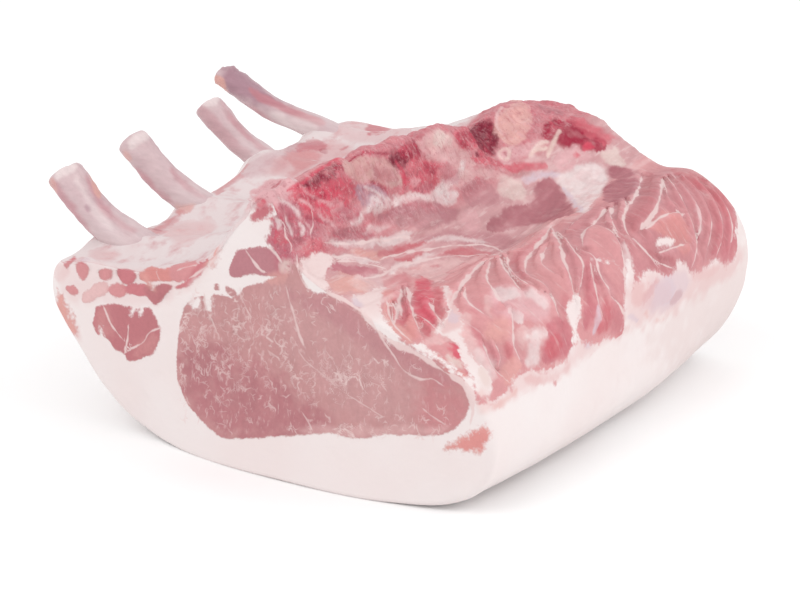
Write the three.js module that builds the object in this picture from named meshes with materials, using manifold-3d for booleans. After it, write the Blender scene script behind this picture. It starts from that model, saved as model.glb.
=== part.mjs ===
// Raw pork rack: a short length of loin with four frenched ribs, lying on its fat cap.
// Millimetres. +X runs along the backbone from the near cut face to the far one, +Y from the back to the
// rib tips, +Z up. The origin is under the middle of the whole piece, on the surface it rests on.
import * as THREE from 'three';
import { mergeVertices } from 'three/addons/utils/BufferGeometryUtils.js';
import Module from 'manifold-3d';

const wasm = await Module();
wasm.setup();

// ---------- driving dimensions ----------
const LENGTH = 151; // between the two cut faces
const STATIONS = 3; // the landmarks are given at both cut faces and at each third of the length
const GAP = 0.3; // clearance between neighbouring pieces

const RIB_COUNT = 4;
const RIB_PITCH = 36.5;
const FIRST_RIB_X = 19.5;
const VERTEBRA_LENGTH = 32;
const FIRST_VERTEBRA_X = 6;
const DISC_THICKNESS = 3.2; // gristle left between two sawn vertebrae

const STEPS_ALONG = 33;
const FRONT_ROUNDING = 2;
const BACK_ROUNDING = 6;
const FACE_RINGS = [0.6, 0.85]; // rings on the near face, as shares of its outline
const SECTION_CENTRE = { y: 52, z: 36 }; // the two ends round off towards this line
const MEAN_RADIUS = 58; // of a section about that line

// Fat pushed forward by the weight.
const FOOT_BULGE = { out: 7, middleY: 45, halfWidth: 52, height: 26, reach: 30 };
const RIB_SWELL = { height: 3.2, halfWidth: 7.5 }; // each rib lifts the membrane over it
const RIPPLE = { depth: 1.5, pitch: 9.5, lean: 6, wander: 7 }; // folds across the roll of back muscle
const CRAG = { height: 2.2, size: 8 }; // the sawn ridge of bone
const DISC_NOTCH = { depth: 2, halfWidth: 3 };
const FAT_UNEVEN = { height: 0.7, size: 24 };

// Landmarks of a section, anticlockwise as seen from the near face: (y, z) at the four stations, and the
// number of facets on the way to the next one.
const OUTLINE = [
  { name: 'rim', yz: [[128, 49], [121, 51], [120, 59], [124, 58]], facets: 2 },
  { name: 'rimUnder', yz: [[131, 38], [127, 40], [126, 45], [126, 44]], facets: 2 },
  { name: 'flankHigh', yz: [[123, 25], [123, 27], [122, 30], [120, 28]], facets: 2 },
  { name: 'flankLow', yz: [[112, 12], [114, 14], [114, 15], [110, 14]], facets: 2 },
  { name: 'belly', yz: [[99, 3], [102, 4], [102, 5], [98, 5]], facets: 2 },
  { name: 'soleLeft', yz: [[84, 0], [84, 0], [84, 0], [82, 0]], facets: 3 },
  { name: 'soleMiddle', yz: [[45, 0], [45, 0], [45, 0], [45, 0]], facets: 3 },
  { name: 'soleRight', yz: [[12, 0], [8, 0], [6, 0], [12, 0]], facets: 3 },
  { name: 'heel', yz: [[-7, 2.5], [-13, 2.5], [-15, 2.5], [-9, 2.5]], facets: 3 },
  { name: 'fatLow', yz: [[-17, 10], [-22, 11], [-23, 12], [-21, 12]], facets: 4 },
  { name: 'fatEdge', yz: [[-19, 25], [-23, 27], [-25, 29], [-28.5, 28]], facets: 6 },
  { name: 'rollSide', yz: [[-12, 38], [-21, 42], [-26, 46], [-26, 46]], facets: 6 },
  { name: 'rollCrest', yz: [[3, 46], [-8, 54], [-12, 61], [-10, 61.5]], facets: 5 },
  { name: 'rollInside', yz: [[17, 51], [10, 54], [5, 59], [3, 62]], facets: 4 },
  { name: 'valley', yz: [[30, 56], [26, 50], [22, 54], [15, 68]], facets: 4 },
  { name: 'ridgeFoot', yz: [[42, 63], [38, 62], [37, 64], [29, 76]], facets: 6 },
  { name: 'ridge', yz: [[52, 82], [50, 83], [50, 80], [48, 78]], facets: 4 },
  { name: 'ridgeBack', yz: [[61, 73], [62, 75], [62, 73], [63, 72.5]], facets: 4 },
  { name: 'pleuraHigh', yz: [[74, 59], [78, 61], [80, 63], [80, 65]], facets: 4 },
  { name: 'pleuraLow', yz: [[97, 52], [101, 53], [103, 58], [102, 60]], facets: 4 },
];

// What each piece fills of the section, anticlockwise like the outline. Where a piece shows on the outside
// its own outline runs past the body.
const LOIN_EYE = [
  { yz: [[79, 14], [80, 15], [80, 17], [78, 18]] },
  { yz: [[66, 8], [66, 9], [66, 10], [64, 11]] },
  { yz: [[42, 13], [42, 13], [42, 14], [42, 15]] },
  { yz: [[8, 18.5], [8, 18], [8, 19], [10, 19]] },
  { yz: [[-12, 27], [-9, 28], [-9, 29], [-8, 30]] },
  { yz: [[-11, 36], [-4, 40], [-3, 42], [-4, 43]] },
  { yz: [[1, 42], [4, 48], [4, 52], [6, 52]] },
  { yz: [[17, 47.5], [12, 66], [8, 72], [18, 57]] },
  { yz: [[36, 54], [36, 68], [34, 70], [34, 59]] },
  { yz: [[55, 54], [52, 57], [50, 58], [50, 59]] },
  { yz: [[70, 48], [68, 52], [66, 53], [66, 54]] },
  { yz: [[80, 41], [80, 43], [80, 45], [78, 45]] },
  { yz: [[85, 27], [86, 29], [86, 31], [84, 30]] },
];
const BACK_MUSCLE = [
  { yz: [[12, 58], [11, 70], [6, 74], [8, 74]] },
  { yz: [[13, 47.5], [9, 50], [6, 52], [9, 54]] },
  { yz: [[2, 43], [3, 46], [3, 49], [5, 50]] },
  { yz: [[-9, 37.5], [-5, 38], [-4, 40], [-5, 41]] },
  { yz: [[-13.5, 30], [-11, 29], [-12, 31], [-13, 32]] },
  { yz: [[-40, 28], [-40, 29], [-40, 32], [-40, 33]] },
  { yz: [[-40, 78], [-40, 78], [-40, 80], [-40, 80]] },
];
const CAP_MUSCLE = [
  { yz: [[109, 28], [109, 28], [108, 29], [108, 29]] },
  { yz: [[101, 22], [102, 23], [102, 24], [102, 24]] },
  { yz: [[95, 24.5], [96, 25], [96, 26], [96, 26]] },
  { yz: [[89.5, 33], [91, 34], [90, 35], [90, 35]] },
  { yz: [[96, 39], [95, 40], [94, 42], [94, 42]] },
  { yz: [[108, 39.5], [106, 40], [105, 42], [104, 41]] },
  { yz: [[116, 33], [114, 33], [113, 35], [112, 34]] },
];
const RIB_MEAT = [
  { yz: [[150, 37], [150, 37], [150, 41], [150, 40]] },
  { yz: [[122, 40], [120, 41], [119, 45], [119, 44]] },
  { yz: [[100, 43], [100, 44], [100, 46], [100, 46]] },
  { yz: [[84, 45.5], [84, 47], [84, 49], [84, 50]] },
  { yz: [[70, 53], [70, 57], [70, 58], [70, 58]] },
  { yz: [[58, 59], [56, 62], [56, 63], [56, 63]] },
  { yz: [[44, 60], [41, 62], [39, 63], [38, 63]] },
  { yz: [[35, 66], [33, 67], [31, 68], [18, 66]] },
  { yz: [[26, 110], [26, 110], [26, 110], [10, 110]] },
  { yz: [[150, 110], [150, 110], [150, 110], [150, 110]] },
];
const VERTEBRA = [
  { yz: [[68, 110], [68, 110], [68, 110], [70, 110]] },
  { yz: [[63, 70], [64, 72], [64, 70], [66, 69]] },
  { yz: [[54, 66], [54, 68], [54, 67], [54, 66]] },
  { yz: [[42, 66], [42, 68], [42, 67], [36, 66]] },
  { yz: [[34, 68], [34, 70], [33, 70], [22, 69]] },
  { yz: [[26, 110], [26, 110], [26, 110], [14, 110]] },
];

// Bare bones: each rib's base is where it leaves the meat, and its tip the sawn end. The base is shifted
// a little from the even pitch, and the tip leans along x from the base.
const RIBS = [
  { base: [118, 53], tip: [139, 70.2], width: 12.4, thickness: 8.6, shift: 0, lean: -1 },
  { base: [118, 53.5], tip: [144, 70.5], width: 10.8, thickness: 8.4, shift: 0.5, lean: 1 },
  { base: [118, 57.8], tip: [141, 74.4], width: 10.6, thickness: 7, shift: 3, lean: -1.2 },
  { base: [118, 60.7], tip: [160, 75.3], width: 10.2, thickness: 6.8, shift: 0, lean: 0 },
];
// How far each bone is bedded in the meat, and how much lower it lies there.
const RIB_ROOT = { y: 101, drop: 5.5 };
const RIB_SIDES = 12;
const RIB_STOPS = [0, 0.14, 0.28, 0.42, 0.56, 0.7, 0.84, 0.95, 1]; // along the bone, from root to tip
const RIB_BOW = 2.2; // the bare bone curls up by this much between base and tip
const TIP_ROUNDING = 0.8; // the sawn tip is this share of the bone's own section

// ---------- interpolation and noise ----------
function smoothAlong(values, x) {
  const t = THREE.MathUtils.clamp(x / LENGTH, 0, 1) * STATIONS;
  const i = Math.min(Math.floor(t), STATIONS - 1);
  const u = t - i;
  const [a, b, c, d] = [-1, 0, 1, 2].map((k) => values[THREE.MathUtils.clamp(i + k, 0, STATIONS)]);
  return b + 0.5 * u * (c - a + u * (2 * a - 5 * b + 4 * c - d + u * (3 * (b - c) + d - a)));
}

function latticeValue(i, j, k, seed) {
  const { imul } = Math;
  let h = imul(i, 374761393) ^ imul(j, 668265263) ^ imul(k, 2147483647) ^ imul(seed, 1274126177);
  h = imul(h ^ (h >>> 13), 1103515245);
  return ((h ^ (h >>> 16)) >>> 0) / 4294967295 - 0.5;
}

// Smooth seeded noise from -0.5 to 0.5, with lumps of the given size.
function noise(x, y, z, size, seed) {
  const p = [x / size, y / size, z / size];
  const cell = p.map(Math.floor);
  const ease = p.map((v, i) => THREE.MathUtils.smoothstep(v - cell[i], 0, 1));
  let sum = 0;
  for (let corner = 0; corner < 8; corner += 1) {
    const step = [corner & 1, (corner >> 1) & 1, corner >> 2];
    const weight = step.reduce((w, s, i) => w * (s ? ease[i] : 1 - ease[i]), 1);
    sum += weight * latticeValue(cell[0] + step[0], cell[1] + step[1], cell[2] + step[2], seed);
  }
  return sum;
}

function bell(distance, halfWidth) {
  return Math.exp(-((distance / halfWidth) ** 2));
}

// 1 between two landmarks, easing to 0 over `fade` landmarks on both sides.
function between(position, first, last, fade) {
  const { smoothstep } = THREE.MathUtils;
  return smoothstep(position, first - fade, first) * (1 - smoothstep(position, last, last + fade));
}

// ---------- outlines and lofts ----------
// Points round a section at x, each with its outward normal and its position counted in landmarks.
function sectionPoints(landmarks, x, grow = 0) {
  const corners = landmarks.map(({ yz }) => new THREE.Vector3(
    smoothAlong(yz.map((p) => p[0]), x),
    smoothAlong(yz.map((p) => p[1]), x),
    0,
  ));
  const curve = new THREE.CatmullRomCurve3(corners, true, 'centripetal');
  const points = landmarks.flatMap(({ facets = 2 }, i) => Array.from({ length: facets }, (_, k) => {
    const position = i + k / facets;
    const { x: y, y: z } = curve.getPoint(position / landmarks.length);
    return { y, z, position };
  }));
  return points.map((p, i) => {
    const before = points.at(i - 1);
    const after = points[(i + 1) % points.length];
    const out = new THREE.Vector2(before.z - after.z, after.y - before.y).normalize();
    return { x, y: p.y + grow * out.x, z: p.z + grow * out.y, out, position: p.position };
  });
}

// A closed solid through rings of points, with flat ends.
function loft(rings) {
  const count = rings[0].length;
  const index = [];
  for (let r = 0; r + 1 < rings.length; r += 1) {
    for (let k = 0; k < count; k += 1) {
      const a = r * count + k;
      const b = r * count + ((k + 1) % count);
      index.push(a, a + count, b, b, a + count, b + count);
    }
  }
  [rings[0], rings.at(-1)].forEach((ring, end) => {
    const start = end * (rings.length - 1) * count;
    const flat = ring.map((p) => new THREE.Vector2(...(p.flat ?? [p.y, p.z])));
    THREE.ShapeUtils.triangulateShape(flat, []).forEach(([a, b, c]) => {
      index.push(start + a, start + (end ? b : c), start + (end ? c : b));
    });
  });
  const geometry = new THREE.BufferGeometry();
  const coordinates = rings.flat().flatMap((p) => [p.x, p.y, p.z]);
  geometry.setAttribute('position', new THREE.Float32BufferAttribute(coordinates, 3));
  geometry.setIndex(index);
  return solidOf(geometry);
}

function solidOf(geometry) {
  const merged = mergeVertices(geometry, 1e-4);
  return new wasm.Manifold(new wasm.Mesh({
    numProp: 3,
    vertProperties: merged.attributes.position.array,
    triVerts: new Uint32Array(merged.index.array),
  }));
}

// A muscle's share of space, from x0 to x1, thinned or thickened by grow.
function region(landmarks, x0, x1, grow) {
  const steps = Math.max(2, Math.round((x1 - x0) / 20));
  const rings = Array.from({ length: steps + 1 }, (_, i) => {
    const x = THREE.MathUtils.lerp(x0 - grow, x1 + grow, i / steps);
    return sectionPoints(landmarks, x, grow);
  });
  return loft(rings);
}

// ---------- the whole piece of meat ----------
const ribX = (i) => FIRST_RIB_X + i * RIB_PITCH;
const discX = (i) => FIRST_VERTEBRA_X + i * (VERTEBRA_LENGTH + DISC_THICKNESS) - DISC_THICKNESS / 2;
const AT = Object.fromEntries(OUTLINE.map(({ name }, i) => [name, i]));

function relief({ x, y, z, position }) {
  const sinceRidge = (position - AT.ridgeBack + OUTLINE.length) % OUTLINE.length;
  const overRibs = between(sinceRidge, 1.6, 3.2, 1.4);
  const ribs = Array.from({ length: RIB_COUNT }, (_, i) => bell(x - ribX(i), RIB_SWELL.halfWidth));
  const ribSwell = RIB_SWELL.height * overRibs * Math.max(...ribs);

  const roundRoll = between(position, AT.fatEdge + 0.6, AT.rollInside + 0.2, 0.7);
  const onRoll = roundRoll * between(x, 14, LENGTH - 8, 12);
  const slant = (AT.rollInside - position) * RIPPLE.lean + RIPPLE.wander * noise(x, y, z, 30, 3);
  const fold = Math.abs(Math.sin((Math.PI * (x + slant)) / RIPPLE.pitch));
  const ripples = RIPPLE.depth * onRoll * (fold ** 0.7 - 0.7);

  const onRidge = between(position, AT.ridgeFoot - 0.2, AT.ridgeBack - 0.2, 0.5);
  const discs = Array.from({ length: RIB_COUNT + 1 }, (_, i) => bell(x - discX(i), DISC_NOTCH.halfWidth));
  const notch = DISC_NOTCH.depth * Math.max(...discs);
  const crags = onRidge * (2 * CRAG.height * noise(x, y, z, CRAG.size, 5) - notch);

  const lifted = THREE.MathUtils.smoothstep(z, 0, 10); // the sole stays flat
  const uneven = 2 * FAT_UNEVEN.height * noise(x, y, z, FAT_UNEVEN.size, 7) * lifted;
  return ribSwell + ripples + crags + uneven;
}

function footBulge(y, z) {
  const across = Math.max(0, 1 - ((y - FOOT_BULGE.middleY) / FOOT_BULGE.halfWidth) ** 2);
  const up = Math.max(0, 1 - z / FOOT_BULGE.height);
  return FOOT_BULGE.out * across * up ** 2;
}

function endInset(x) {
  const inset = (distance, radius) => {
    const short = Math.max(0, radius - distance);
    return radius - Math.sqrt(radius ** 2 - short ** 2);
  };
  return inset(x, FRONT_ROUNDING) + inset(LENGTH - x, BACK_ROUNDING);
}

function wholeBody() {
  const middle = Array.from({ length: STEPS_ALONG + 1 }, (_, i) => (
    THREE.MathUtils.lerp(FRONT_ROUNDING, LENGTH - BACK_ROUNDING, i / STEPS_ALONG)
  ));
  const farEnd = [0.5, 0.15, 0].map((share) => LENGTH - share * BACK_ROUNDING);
  const stops = [0, 0.3 * FRONT_ROUNDING, ...middle, ...farEnd];
  const ringAt = (x, share) => sectionPoints(OUTLINE, x).map((p) => {
    const shrink = share * (1 - endInset(x) / MEAN_RADIUS);
    const raised = relief(p);
    const y = SECTION_CENTRE.y + shrink * (p.y + raised * p.out.x - SECTION_CENTRE.y);
    const z = SECTION_CENTRE.z + shrink * (p.z + raised * p.out.y - SECTION_CENTRE.z);
    const nearFront = THREE.MathUtils.smoothstep(FOOT_BULGE.reach - x, 0, FOOT_BULGE.reach);
    return { x: x - nearFront * footBulge(y, z), y, z: Math.max(0, z), flat: [y, z] };
  });
  return loft([...FACE_RINGS.map((share) => ringAt(0, share)), ...stops.map((x) => ringAt(x, 1))]);
}

// ---------- bones ----------
function ribBone({ base, tip, width, thickness, lean }, x, grow = 0) {
  const root = new THREE.Vector3(x, RIB_ROOT.y, base[1] - RIB_ROOT.drop);
  const start = new THREE.Vector3(x, base[0], base[1]);
  const end = new THREE.Vector3(x + lean, tip[0], tip[1]);
  const middle = start.clone().lerp(end, 0.5).add(new THREE.Vector3(0, 0, -RIB_BOW));
  const curve = new THREE.CatmullRomCurve3([root, start, middle, end], false, 'centripetal');
  const rings = RIB_STOPS.map((t) => {
    const centre = curve.getPoint(t);
    const along = curve.getTangent(t);
    const up = new THREE.Vector3(1, 0, 0).cross(along).normalize();
    const taper = t === 1 ? TIP_ROUNDING : 1 + 0.06 * bell(t - 0.9, 0.1) + 0.1 * bell(t - 0.3, 0.2);
    const overrun = t === 0 || t === 1 ? grow * (2 * t - 1) : 0;
    return Array.from({ length: RIB_SIDES }, (_, k) => {
      const angle = (2 * Math.PI * k) / RIB_SIDES;
      const uneven = 1 + 0.12 * noise(x + 9 * Math.cos(angle), 40 * t, 9 * Math.sin(angle), 6, 11);
      const across = (0.5 * width * taper * uneven + grow) * Math.cos(angle);
      const high = (0.5 * thickness * taper * uneven + grow) * Math.sin(angle);
      const p = centre.clone().addScaledVector(along, overrun).addScaledVector(up, high);
      return { x: p.x + across, y: p.y, z: p.z, flat: [high, across] };
    });
  });
  return loft(rings);
}

// ---------- cutting the meat into its pieces ----------
const RUN_PAST = 14; // how far a region passes both cut faces
let rest = wholeBody();

function largestOf(solid) {
  return solid.decompose().sort((a, b) => b.volume() - a.volume())[0];
}

// Takes a region out of what is left, and gives the piece.
function takeOut(landmarks, x0 = -RUN_PAST, x1 = LENGTH + RUN_PAST) {
  const piece = largestOf(rest.intersect(region(landmarks, x0, x1, -GAP / 2)));
  rest = rest.subtract(region(landmarks, x0, x1, GAP / 2));
  return piece;
}

const bones = RIBS.map((rib, i) => ribBone(rib, ribX(i) + rib.shift));
RIBS.forEach((rib, i) => { rest = rest.subtract(ribBone(rib, ribX(i) + rib.shift, GAP)); });
const vertebrae = RIBS.map((_, i) => {
  const start = FIRST_VERTEBRA_X + i * (VERTEBRA_LENGTH + DISC_THICKNESS);
  return takeOut(VERTEBRA, start, start + VERTEBRA_LENGTH);
});
const ribMeat = takeOut(RIB_MEAT);
const backMuscle = takeOut(BACK_MUSCLE, 9, LENGTH - 4);
const loinEye = takeOut(LOIN_EYE);
const capMuscle = takeOut(CAP_MUSCLE);
const fatCap = largestOf(rest);

// ---------- the scene graph ----------
const LOOKS = {
  lean: new THREE.MeshStandardMaterial({ color: 0xc98387, roughness: 0.45, metalness: 0 }),
  redLean: new THREE.MeshStandardMaterial({ color: 0xcd7478, roughness: 0.45, metalness: 0 }),
  fat: new THREE.MeshStandardMaterial({ color: 0xf1e4e2, roughness: 0.5, metalness: 0 }),
  membrane: new THREE.MeshStandardMaterial({ color: 0xe3cfce, roughness: 0.4, metalness: 0 }),
  sawnBone: new THREE.MeshStandardMaterial({ color: 0xb5424d, roughness: 0.5, metalness: 0 }),
  bareBone: new THREE.MeshStandardMaterial({ color: 0xd9bfc2, roughness: 0.4, metalness: 0 }),
};

function meshOf(solid, name, material) {
  const { numProp, vertProperties, triVerts } = solid.getMesh();
  const geometry = new THREE.BufferGeometry();
  geometry.setAttribute('position', new THREE.Float32BufferAttribute(vertProperties, numProp));
  geometry.setIndex(new THREE.BufferAttribute(triVerts, 1));
  geometry.computeVertexNormals();
  const mesh = new THREE.Mesh(geometry, material);
  mesh.name = name;
  return mesh;
}

const rack = new THREE.Group();
rack.add(
  meshOf(fatCap, 'fat_cap', LOOKS.fat),
  meshOf(loinEye, 'loin_eye', LOOKS.lean),
  meshOf(backMuscle, 'back_muscle', LOOKS.redLean),
  meshOf(capMuscle, 'cap_muscle', LOOKS.redLean),
  meshOf(ribMeat, 'rib_meat', LOOKS.membrane),
  ...vertebrae.map((solid, i) => meshOf(solid, `vertebra_${i + 1}`, LOOKS.sawnBone)),
  ...bones.map((solid, i) => meshOf(solid, `rib_bone_${i + 1}`, LOOKS.bareBone)),
);

// The group is moved so that the middle of its footprint is the origin.
const box = new THREE.Box3().setFromObject(rack);
const centre = box.getCenter(new THREE.Vector3());
rack.position.set(-centre.x, -centre.y, -box.min.z);

export default rack;
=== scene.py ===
"""Raw pork rack: a short length of loin with four bared ribs, lying on its fat cap.

The shapes are worked out in millimetres in the cut's own frame: x runs along the backbone from the near
cut face to the far one, y from the back to the rib tips, z up from the surface it lies on. They are moved
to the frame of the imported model, in metres, when a mesh is made.
"""
import math

import bpy
import numpy as np
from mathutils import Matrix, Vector
from mathutils.bvhtree import BVHTree
from mathutils.kdtree import KDTree


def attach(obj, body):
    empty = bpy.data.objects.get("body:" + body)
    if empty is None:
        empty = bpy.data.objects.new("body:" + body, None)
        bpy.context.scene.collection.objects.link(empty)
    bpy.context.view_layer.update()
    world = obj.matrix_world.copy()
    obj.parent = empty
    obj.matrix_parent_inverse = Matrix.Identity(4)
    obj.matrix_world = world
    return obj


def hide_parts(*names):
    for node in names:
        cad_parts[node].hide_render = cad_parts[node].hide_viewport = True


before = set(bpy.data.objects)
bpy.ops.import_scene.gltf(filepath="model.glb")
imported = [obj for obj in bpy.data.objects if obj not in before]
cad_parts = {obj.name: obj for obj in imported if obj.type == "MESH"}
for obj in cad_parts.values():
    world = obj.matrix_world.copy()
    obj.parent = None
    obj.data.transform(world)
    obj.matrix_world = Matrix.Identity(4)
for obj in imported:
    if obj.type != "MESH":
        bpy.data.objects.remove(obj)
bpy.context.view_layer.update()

# ---------- sizes, in millimetres ----------
MM = 0.001
LENGTH = 151.0  # between the two cut faces
STATIONS = 3  # the landmarks are given at both cut faces and at each third of the length
ORIGIN = np.array([72.3263, 66.335, 0.0])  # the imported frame's origin, in the cut's own frame
COARSE = 1.0
GRAIN = 0.56 * COARSE  # spacing of the skin's mesh along the piece and over its upper side
HIDDEN_GRAIN = 1.5 * COARSE  # spacing round its underside

TINY = 1e-9  # keeps divisions off zero

RIB_COUNT = 4
RIB_PITCH = 36.5
FIRST_RIB_X = 19.5
VERTEBRA_LENGTH = 32.0
FIRST_VERTEBRA_X = 6.0
DISC_THICKNESS = 3.2

FRONT_ROUNDING = 2.0
BACK_ROUNDING = 6.0
SECTION_CENTRE = np.array([52.0, 36.0])
MEAN_RADIUS = 58.0
FOOT_BULGE = {"out": 7.0, "middle_y": 45.0, "half_width": 52.0, "height": 26.0, "reach": 30.0}
# How far relief rises over each rib and sinks at the ridge's third vertebra. Each zone begins, ends and fades
# in landmarks, counted from the ridge's back and from its crest.
RIB_SWELL = {"height": 3.2, "half_width": 7.5, "zone": (1.6, 3.2, 1.4)}
CREST_DIP = {"depth": 3.2, "x": 108.0, "half_width": 12.0, "zone": (-0.3, 0.6, 0.8)}
END_MIDDLE = 0.05  # of the section's size: the face that closes each end
NEAR_BEND = np.array([0, 0.08, 0.2, 0.4, 0.65])  # where rings lie in the near rounding, from the end inward
FAR_BEND = np.array([0.82, 0.66, 0.5, 0.36, 0.24, 0.14, 0.07, 0.02, 0])  # and in the far one, outward
FINE_STEPS = 40  # to a landmark, in measuring the outline

# Landmarks of a section, anticlockwise as seen from the near face: (y, z) at the four stations.
OUTLINE = {
    "rim": [(128, 49), (121, 51), (120, 59), (124, 58)],
    "rim_under": [(131, 38), (127, 40), (126, 45), (126, 44)],
    "flank_high": [(123, 25), (123, 27), (122, 30), (120, 28)],
    "flank_low": [(112, 12), (114, 14), (114, 15), (110, 14)],
    "belly": [(99, 3), (102, 4), (102, 5), (98, 5)],
    "sole_left": [(84, 0), (84, 0), (84, 0), (82, 0)],
    "sole_middle": [(45, 0), (45, 0), (45, 0), (45, 0)],
    "sole_right": [(12, 0), (8, 0), (6, 0), (12, 0)],
    "heel": [(-7, 2.5), (-13, 2.5), (-15, 2.5), (-9, 2.5)],
    "fat_low": [(-17, 10), (-22, 11), (-23, 12), (-21, 12)],
    "fat_edge": [(-19, 25), (-23, 27), (-25, 29), (-28.5, 28)],
    "roll_side": [(-12, 38), (-21, 42), (-26, 46), (-26, 46)],
    "roll_crest": [(3, 46), (-8, 54), (-12, 61), (-10, 61.5)],
    "roll_inside": [(17, 51), (10, 54), (5, 59), (3, 62)],
    "valley": [(30, 56), (26, 50), (22, 54), (15, 68)],
    "ridge_foot": [(42, 63), (38, 62), (37, 64), (29, 76)],
    "ridge": [(52, 82), (50, 83), (50, 80), (48, 78)],
    "ridge_back": [(61, 73), (62, 75), (62, 73), (63, 72.5)],
    "pleura_high": [(74, 59), (78, 61), (80, 63), (80, 65)],
    "pleura_low": [(97, 52), (101, 53), (103, 58), (102, 60)],
}
AT = {name: i for i, name in enumerate(OUTLINE)}
TURN = len(OUTLINE)

# What each piece fills of the section, anticlockwise like the outline.
LOIN_EYE = [
    [(79, 14), (80, 15), (80, 17), (78, 18)],
    [(66, 8), (66, 9), (66, 10), (64, 11)],
    [(42, 13), (42, 13), (42, 14), (42, 15)],
    [(8, 18.5), (8, 18), (8, 19), (10, 19)],
    [(-12, 27), (-9, 28), (-9, 29), (-8, 30)],
    [(-11, 36), (-4, 40), (-3, 42), (-4, 43)],
    [(1, 42), (4, 48), (4, 52), (6, 52)],
    [(17, 47.5), (12, 66), (8, 72), (18, 57)],
    [(36, 54), (36, 68), (34, 70), (34, 59)],
    [(55, 54), (52, 57), (50, 58), (50, 59)],
    [(70, 48), (68, 52), (66, 53), (66, 54)],
    [(80, 41), (80, 43), (80, 45), (78, 45)],
    [(85, 27), (86, 29), (86, 31), (84, 30)],
]
BACK_MUSCLE = [
    [(12, 58), (11, 70), (6, 74), (8, 74)],
    [(13, 47.5), (9, 50), (6, 52), (9, 54)],
    [(2, 43), (3, 46), (3, 49), (5, 50)],
    [(-9, 37.5), (-5, 38), (-4, 40), (-5, 41)],
    [(-13.5, 30), (-11, 29), (-12, 31), (-13, 32)],
    [(-40, 28), (-40, 29), (-40, 32), (-40, 33)],
    [(-40, 78), (-40, 78), (-40, 80), (-40, 80)],
]
CAP_MUSCLE = [
    [(109, 28), (109, 28), (108, 29), (108, 29)],
    [(101, 22), (102, 23), (102, 24), (102, 24)],
    [(95, 24.5), (96, 25), (96, 26), (96, 26)],
    [(89.5, 33), (91, 34), (90, 35), (90, 35)],
    [(96, 39), (95, 40), (94, 42), (94, 42)],
    [(108, 39.5), (106, 40), (105, 42), (104, 41)],
    [(116, 33), (114, 33), (113, 35), (112, 34)],
]
RIB_MEAT = [
    [(150, 37), (150, 37), (150, 41), (150, 40)],
    [(122, 40), (120, 41), (119, 45), (119, 44)],
    [(100, 43), (100, 44), (100, 46), (100, 46)],
    [(84, 45.5), (84, 47), (84, 49), (84, 50)],
    [(70, 53), (70, 57), (70, 58), (70, 58)],
    [(58, 59), (56, 62), (56, 63), (56, 63)],
    [(44, 60), (41, 62), (39, 63), (38, 63)],
    [(35, 66), (33, 67), (31, 68), (18, 66)],
    [(26, 110), (26, 110), (26, 110), (10, 110)],
    [(150, 110), (150, 110), (150, 110), (150, 110)],
]
VERTEBRA = [
    [(68, 110), (68, 110), (68, 110), (70, 110)],
    [(63, 70), (64, 72), (64, 70), (66, 69)],
    [(54, 66), (54, 68), (54, 67), (54, 66)],
    [(42, 66), (42, 68), (42, 67), (36, 66)],
    [(34, 68), (34, 70), (33, 70), (22, 69)],
    [(26, 110), (26, 110), (26, 110), (14, 110)],
]

RIBS = [
    {"base": (118, 53), "tip": (139, 70.2), "width": 12.4, "thickness": 8.6, "shift": 0, "lean": -1},
    {"base": (118, 53.5), "tip": (144, 70.5), "width": 10.8, "thickness": 8.4, "shift": 0.5, "lean": 1},
    {"base": (118, 57.8), "tip": (141, 74.4), "width": 10.6, "thickness": 7, "shift": 3, "lean": -1.2},
    {"base": (118, 60.7), "tip": (160, 75.3), "width": 10.2, "thickness": 6.8, "shift": 0, "lean": 0},
]
RIB_ROOT = {"y": 101.0, "drop": 5.5}
RIB_BOW = 2.2

# ---------- the photograph's camera ----------
PHOTO = (800, 600)
LOOK_DOWN = math.radians(19.0)
LOOK_ACROSS = math.radians(31.5)  # between the line of sight and the backbone, seen from above
FIELD_OF_VIEW = math.radians(20.0)
FOCAL = PHOTO[0] / 2 / math.tan(FIELD_OF_VIEW / 2)  # in pixels
DISTANCE = 618.12
SENSOR_WIDTH = 36.0
CLIP = (0.01, 50.0)  # in metres
NEAR_CORNER_PIXEL = (430, 508)  # where the cut's own origin, the near face's right foot, is seen

ACROSS = np.array([math.cos(LOOK_ACROSS), math.sin(LOOK_ACROSS), 0.0])
SIGHT = ACROSS * math.cos(LOOK_DOWN) - np.array([0.0, 0.0, math.sin(LOOK_DOWN)])
RIGHT = np.array([math.sin(LOOK_ACROSS), -math.cos(LOOK_ACROSS), 0.0])
UP = np.cross(RIGHT, SIGHT)


def ray(pixel):
    """The direction in which the camera sees a pixel of the photograph."""
    sideways = (pixel[0] - PHOTO[0] / 2) / FOCAL
    upward = (PHOTO[1] / 2 - pixel[1]) / FOCAL
    return SIGHT + sideways * RIGHT + upward * UP


EYE_POINT = -DISTANCE * ray(NEAR_CORNER_PIXEL)


def pixels_of(points):
    """Where the camera sees points, in pixels of the photograph."""
    offset = points - EYE_POINT
    depth = offset @ SIGHT
    across = PHOTO[0] / 2 + FOCAL * (offset @ RIGHT) / depth
    down = PHOTO[1] / 2 - FOCAL * (offset @ UP) / depth
    return np.stack([across, down], axis=1)


def make_camera():
    data = bpy.data.cameras.new("camera")
    data.sensor_width = SENSOR_WIDTH
    data.lens = SENSOR_WIDTH * FOCAL / PHOTO[0]
    data.clip_start, data.clip_end = CLIP
    camera = bpy.data.objects.new("camera", data)
    bpy.context.scene.collection.objects.link(camera)
    camera.location = (EYE_POINT - ORIGIN) * MM
    camera.rotation_mode = "QUATERNION"
    camera.rotation_quaternion = Vector(SIGHT).to_track_quat("-Z", "Y")
    bpy.context.scene.camera = camera


# ---------- interpolation and noise ----------
HASH_FACTORS = [np.uint32(factor) for factor in (374761393, 668265263, 2246822519, 3266489917)]
HALF_RANGE = 2.0**31


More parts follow.
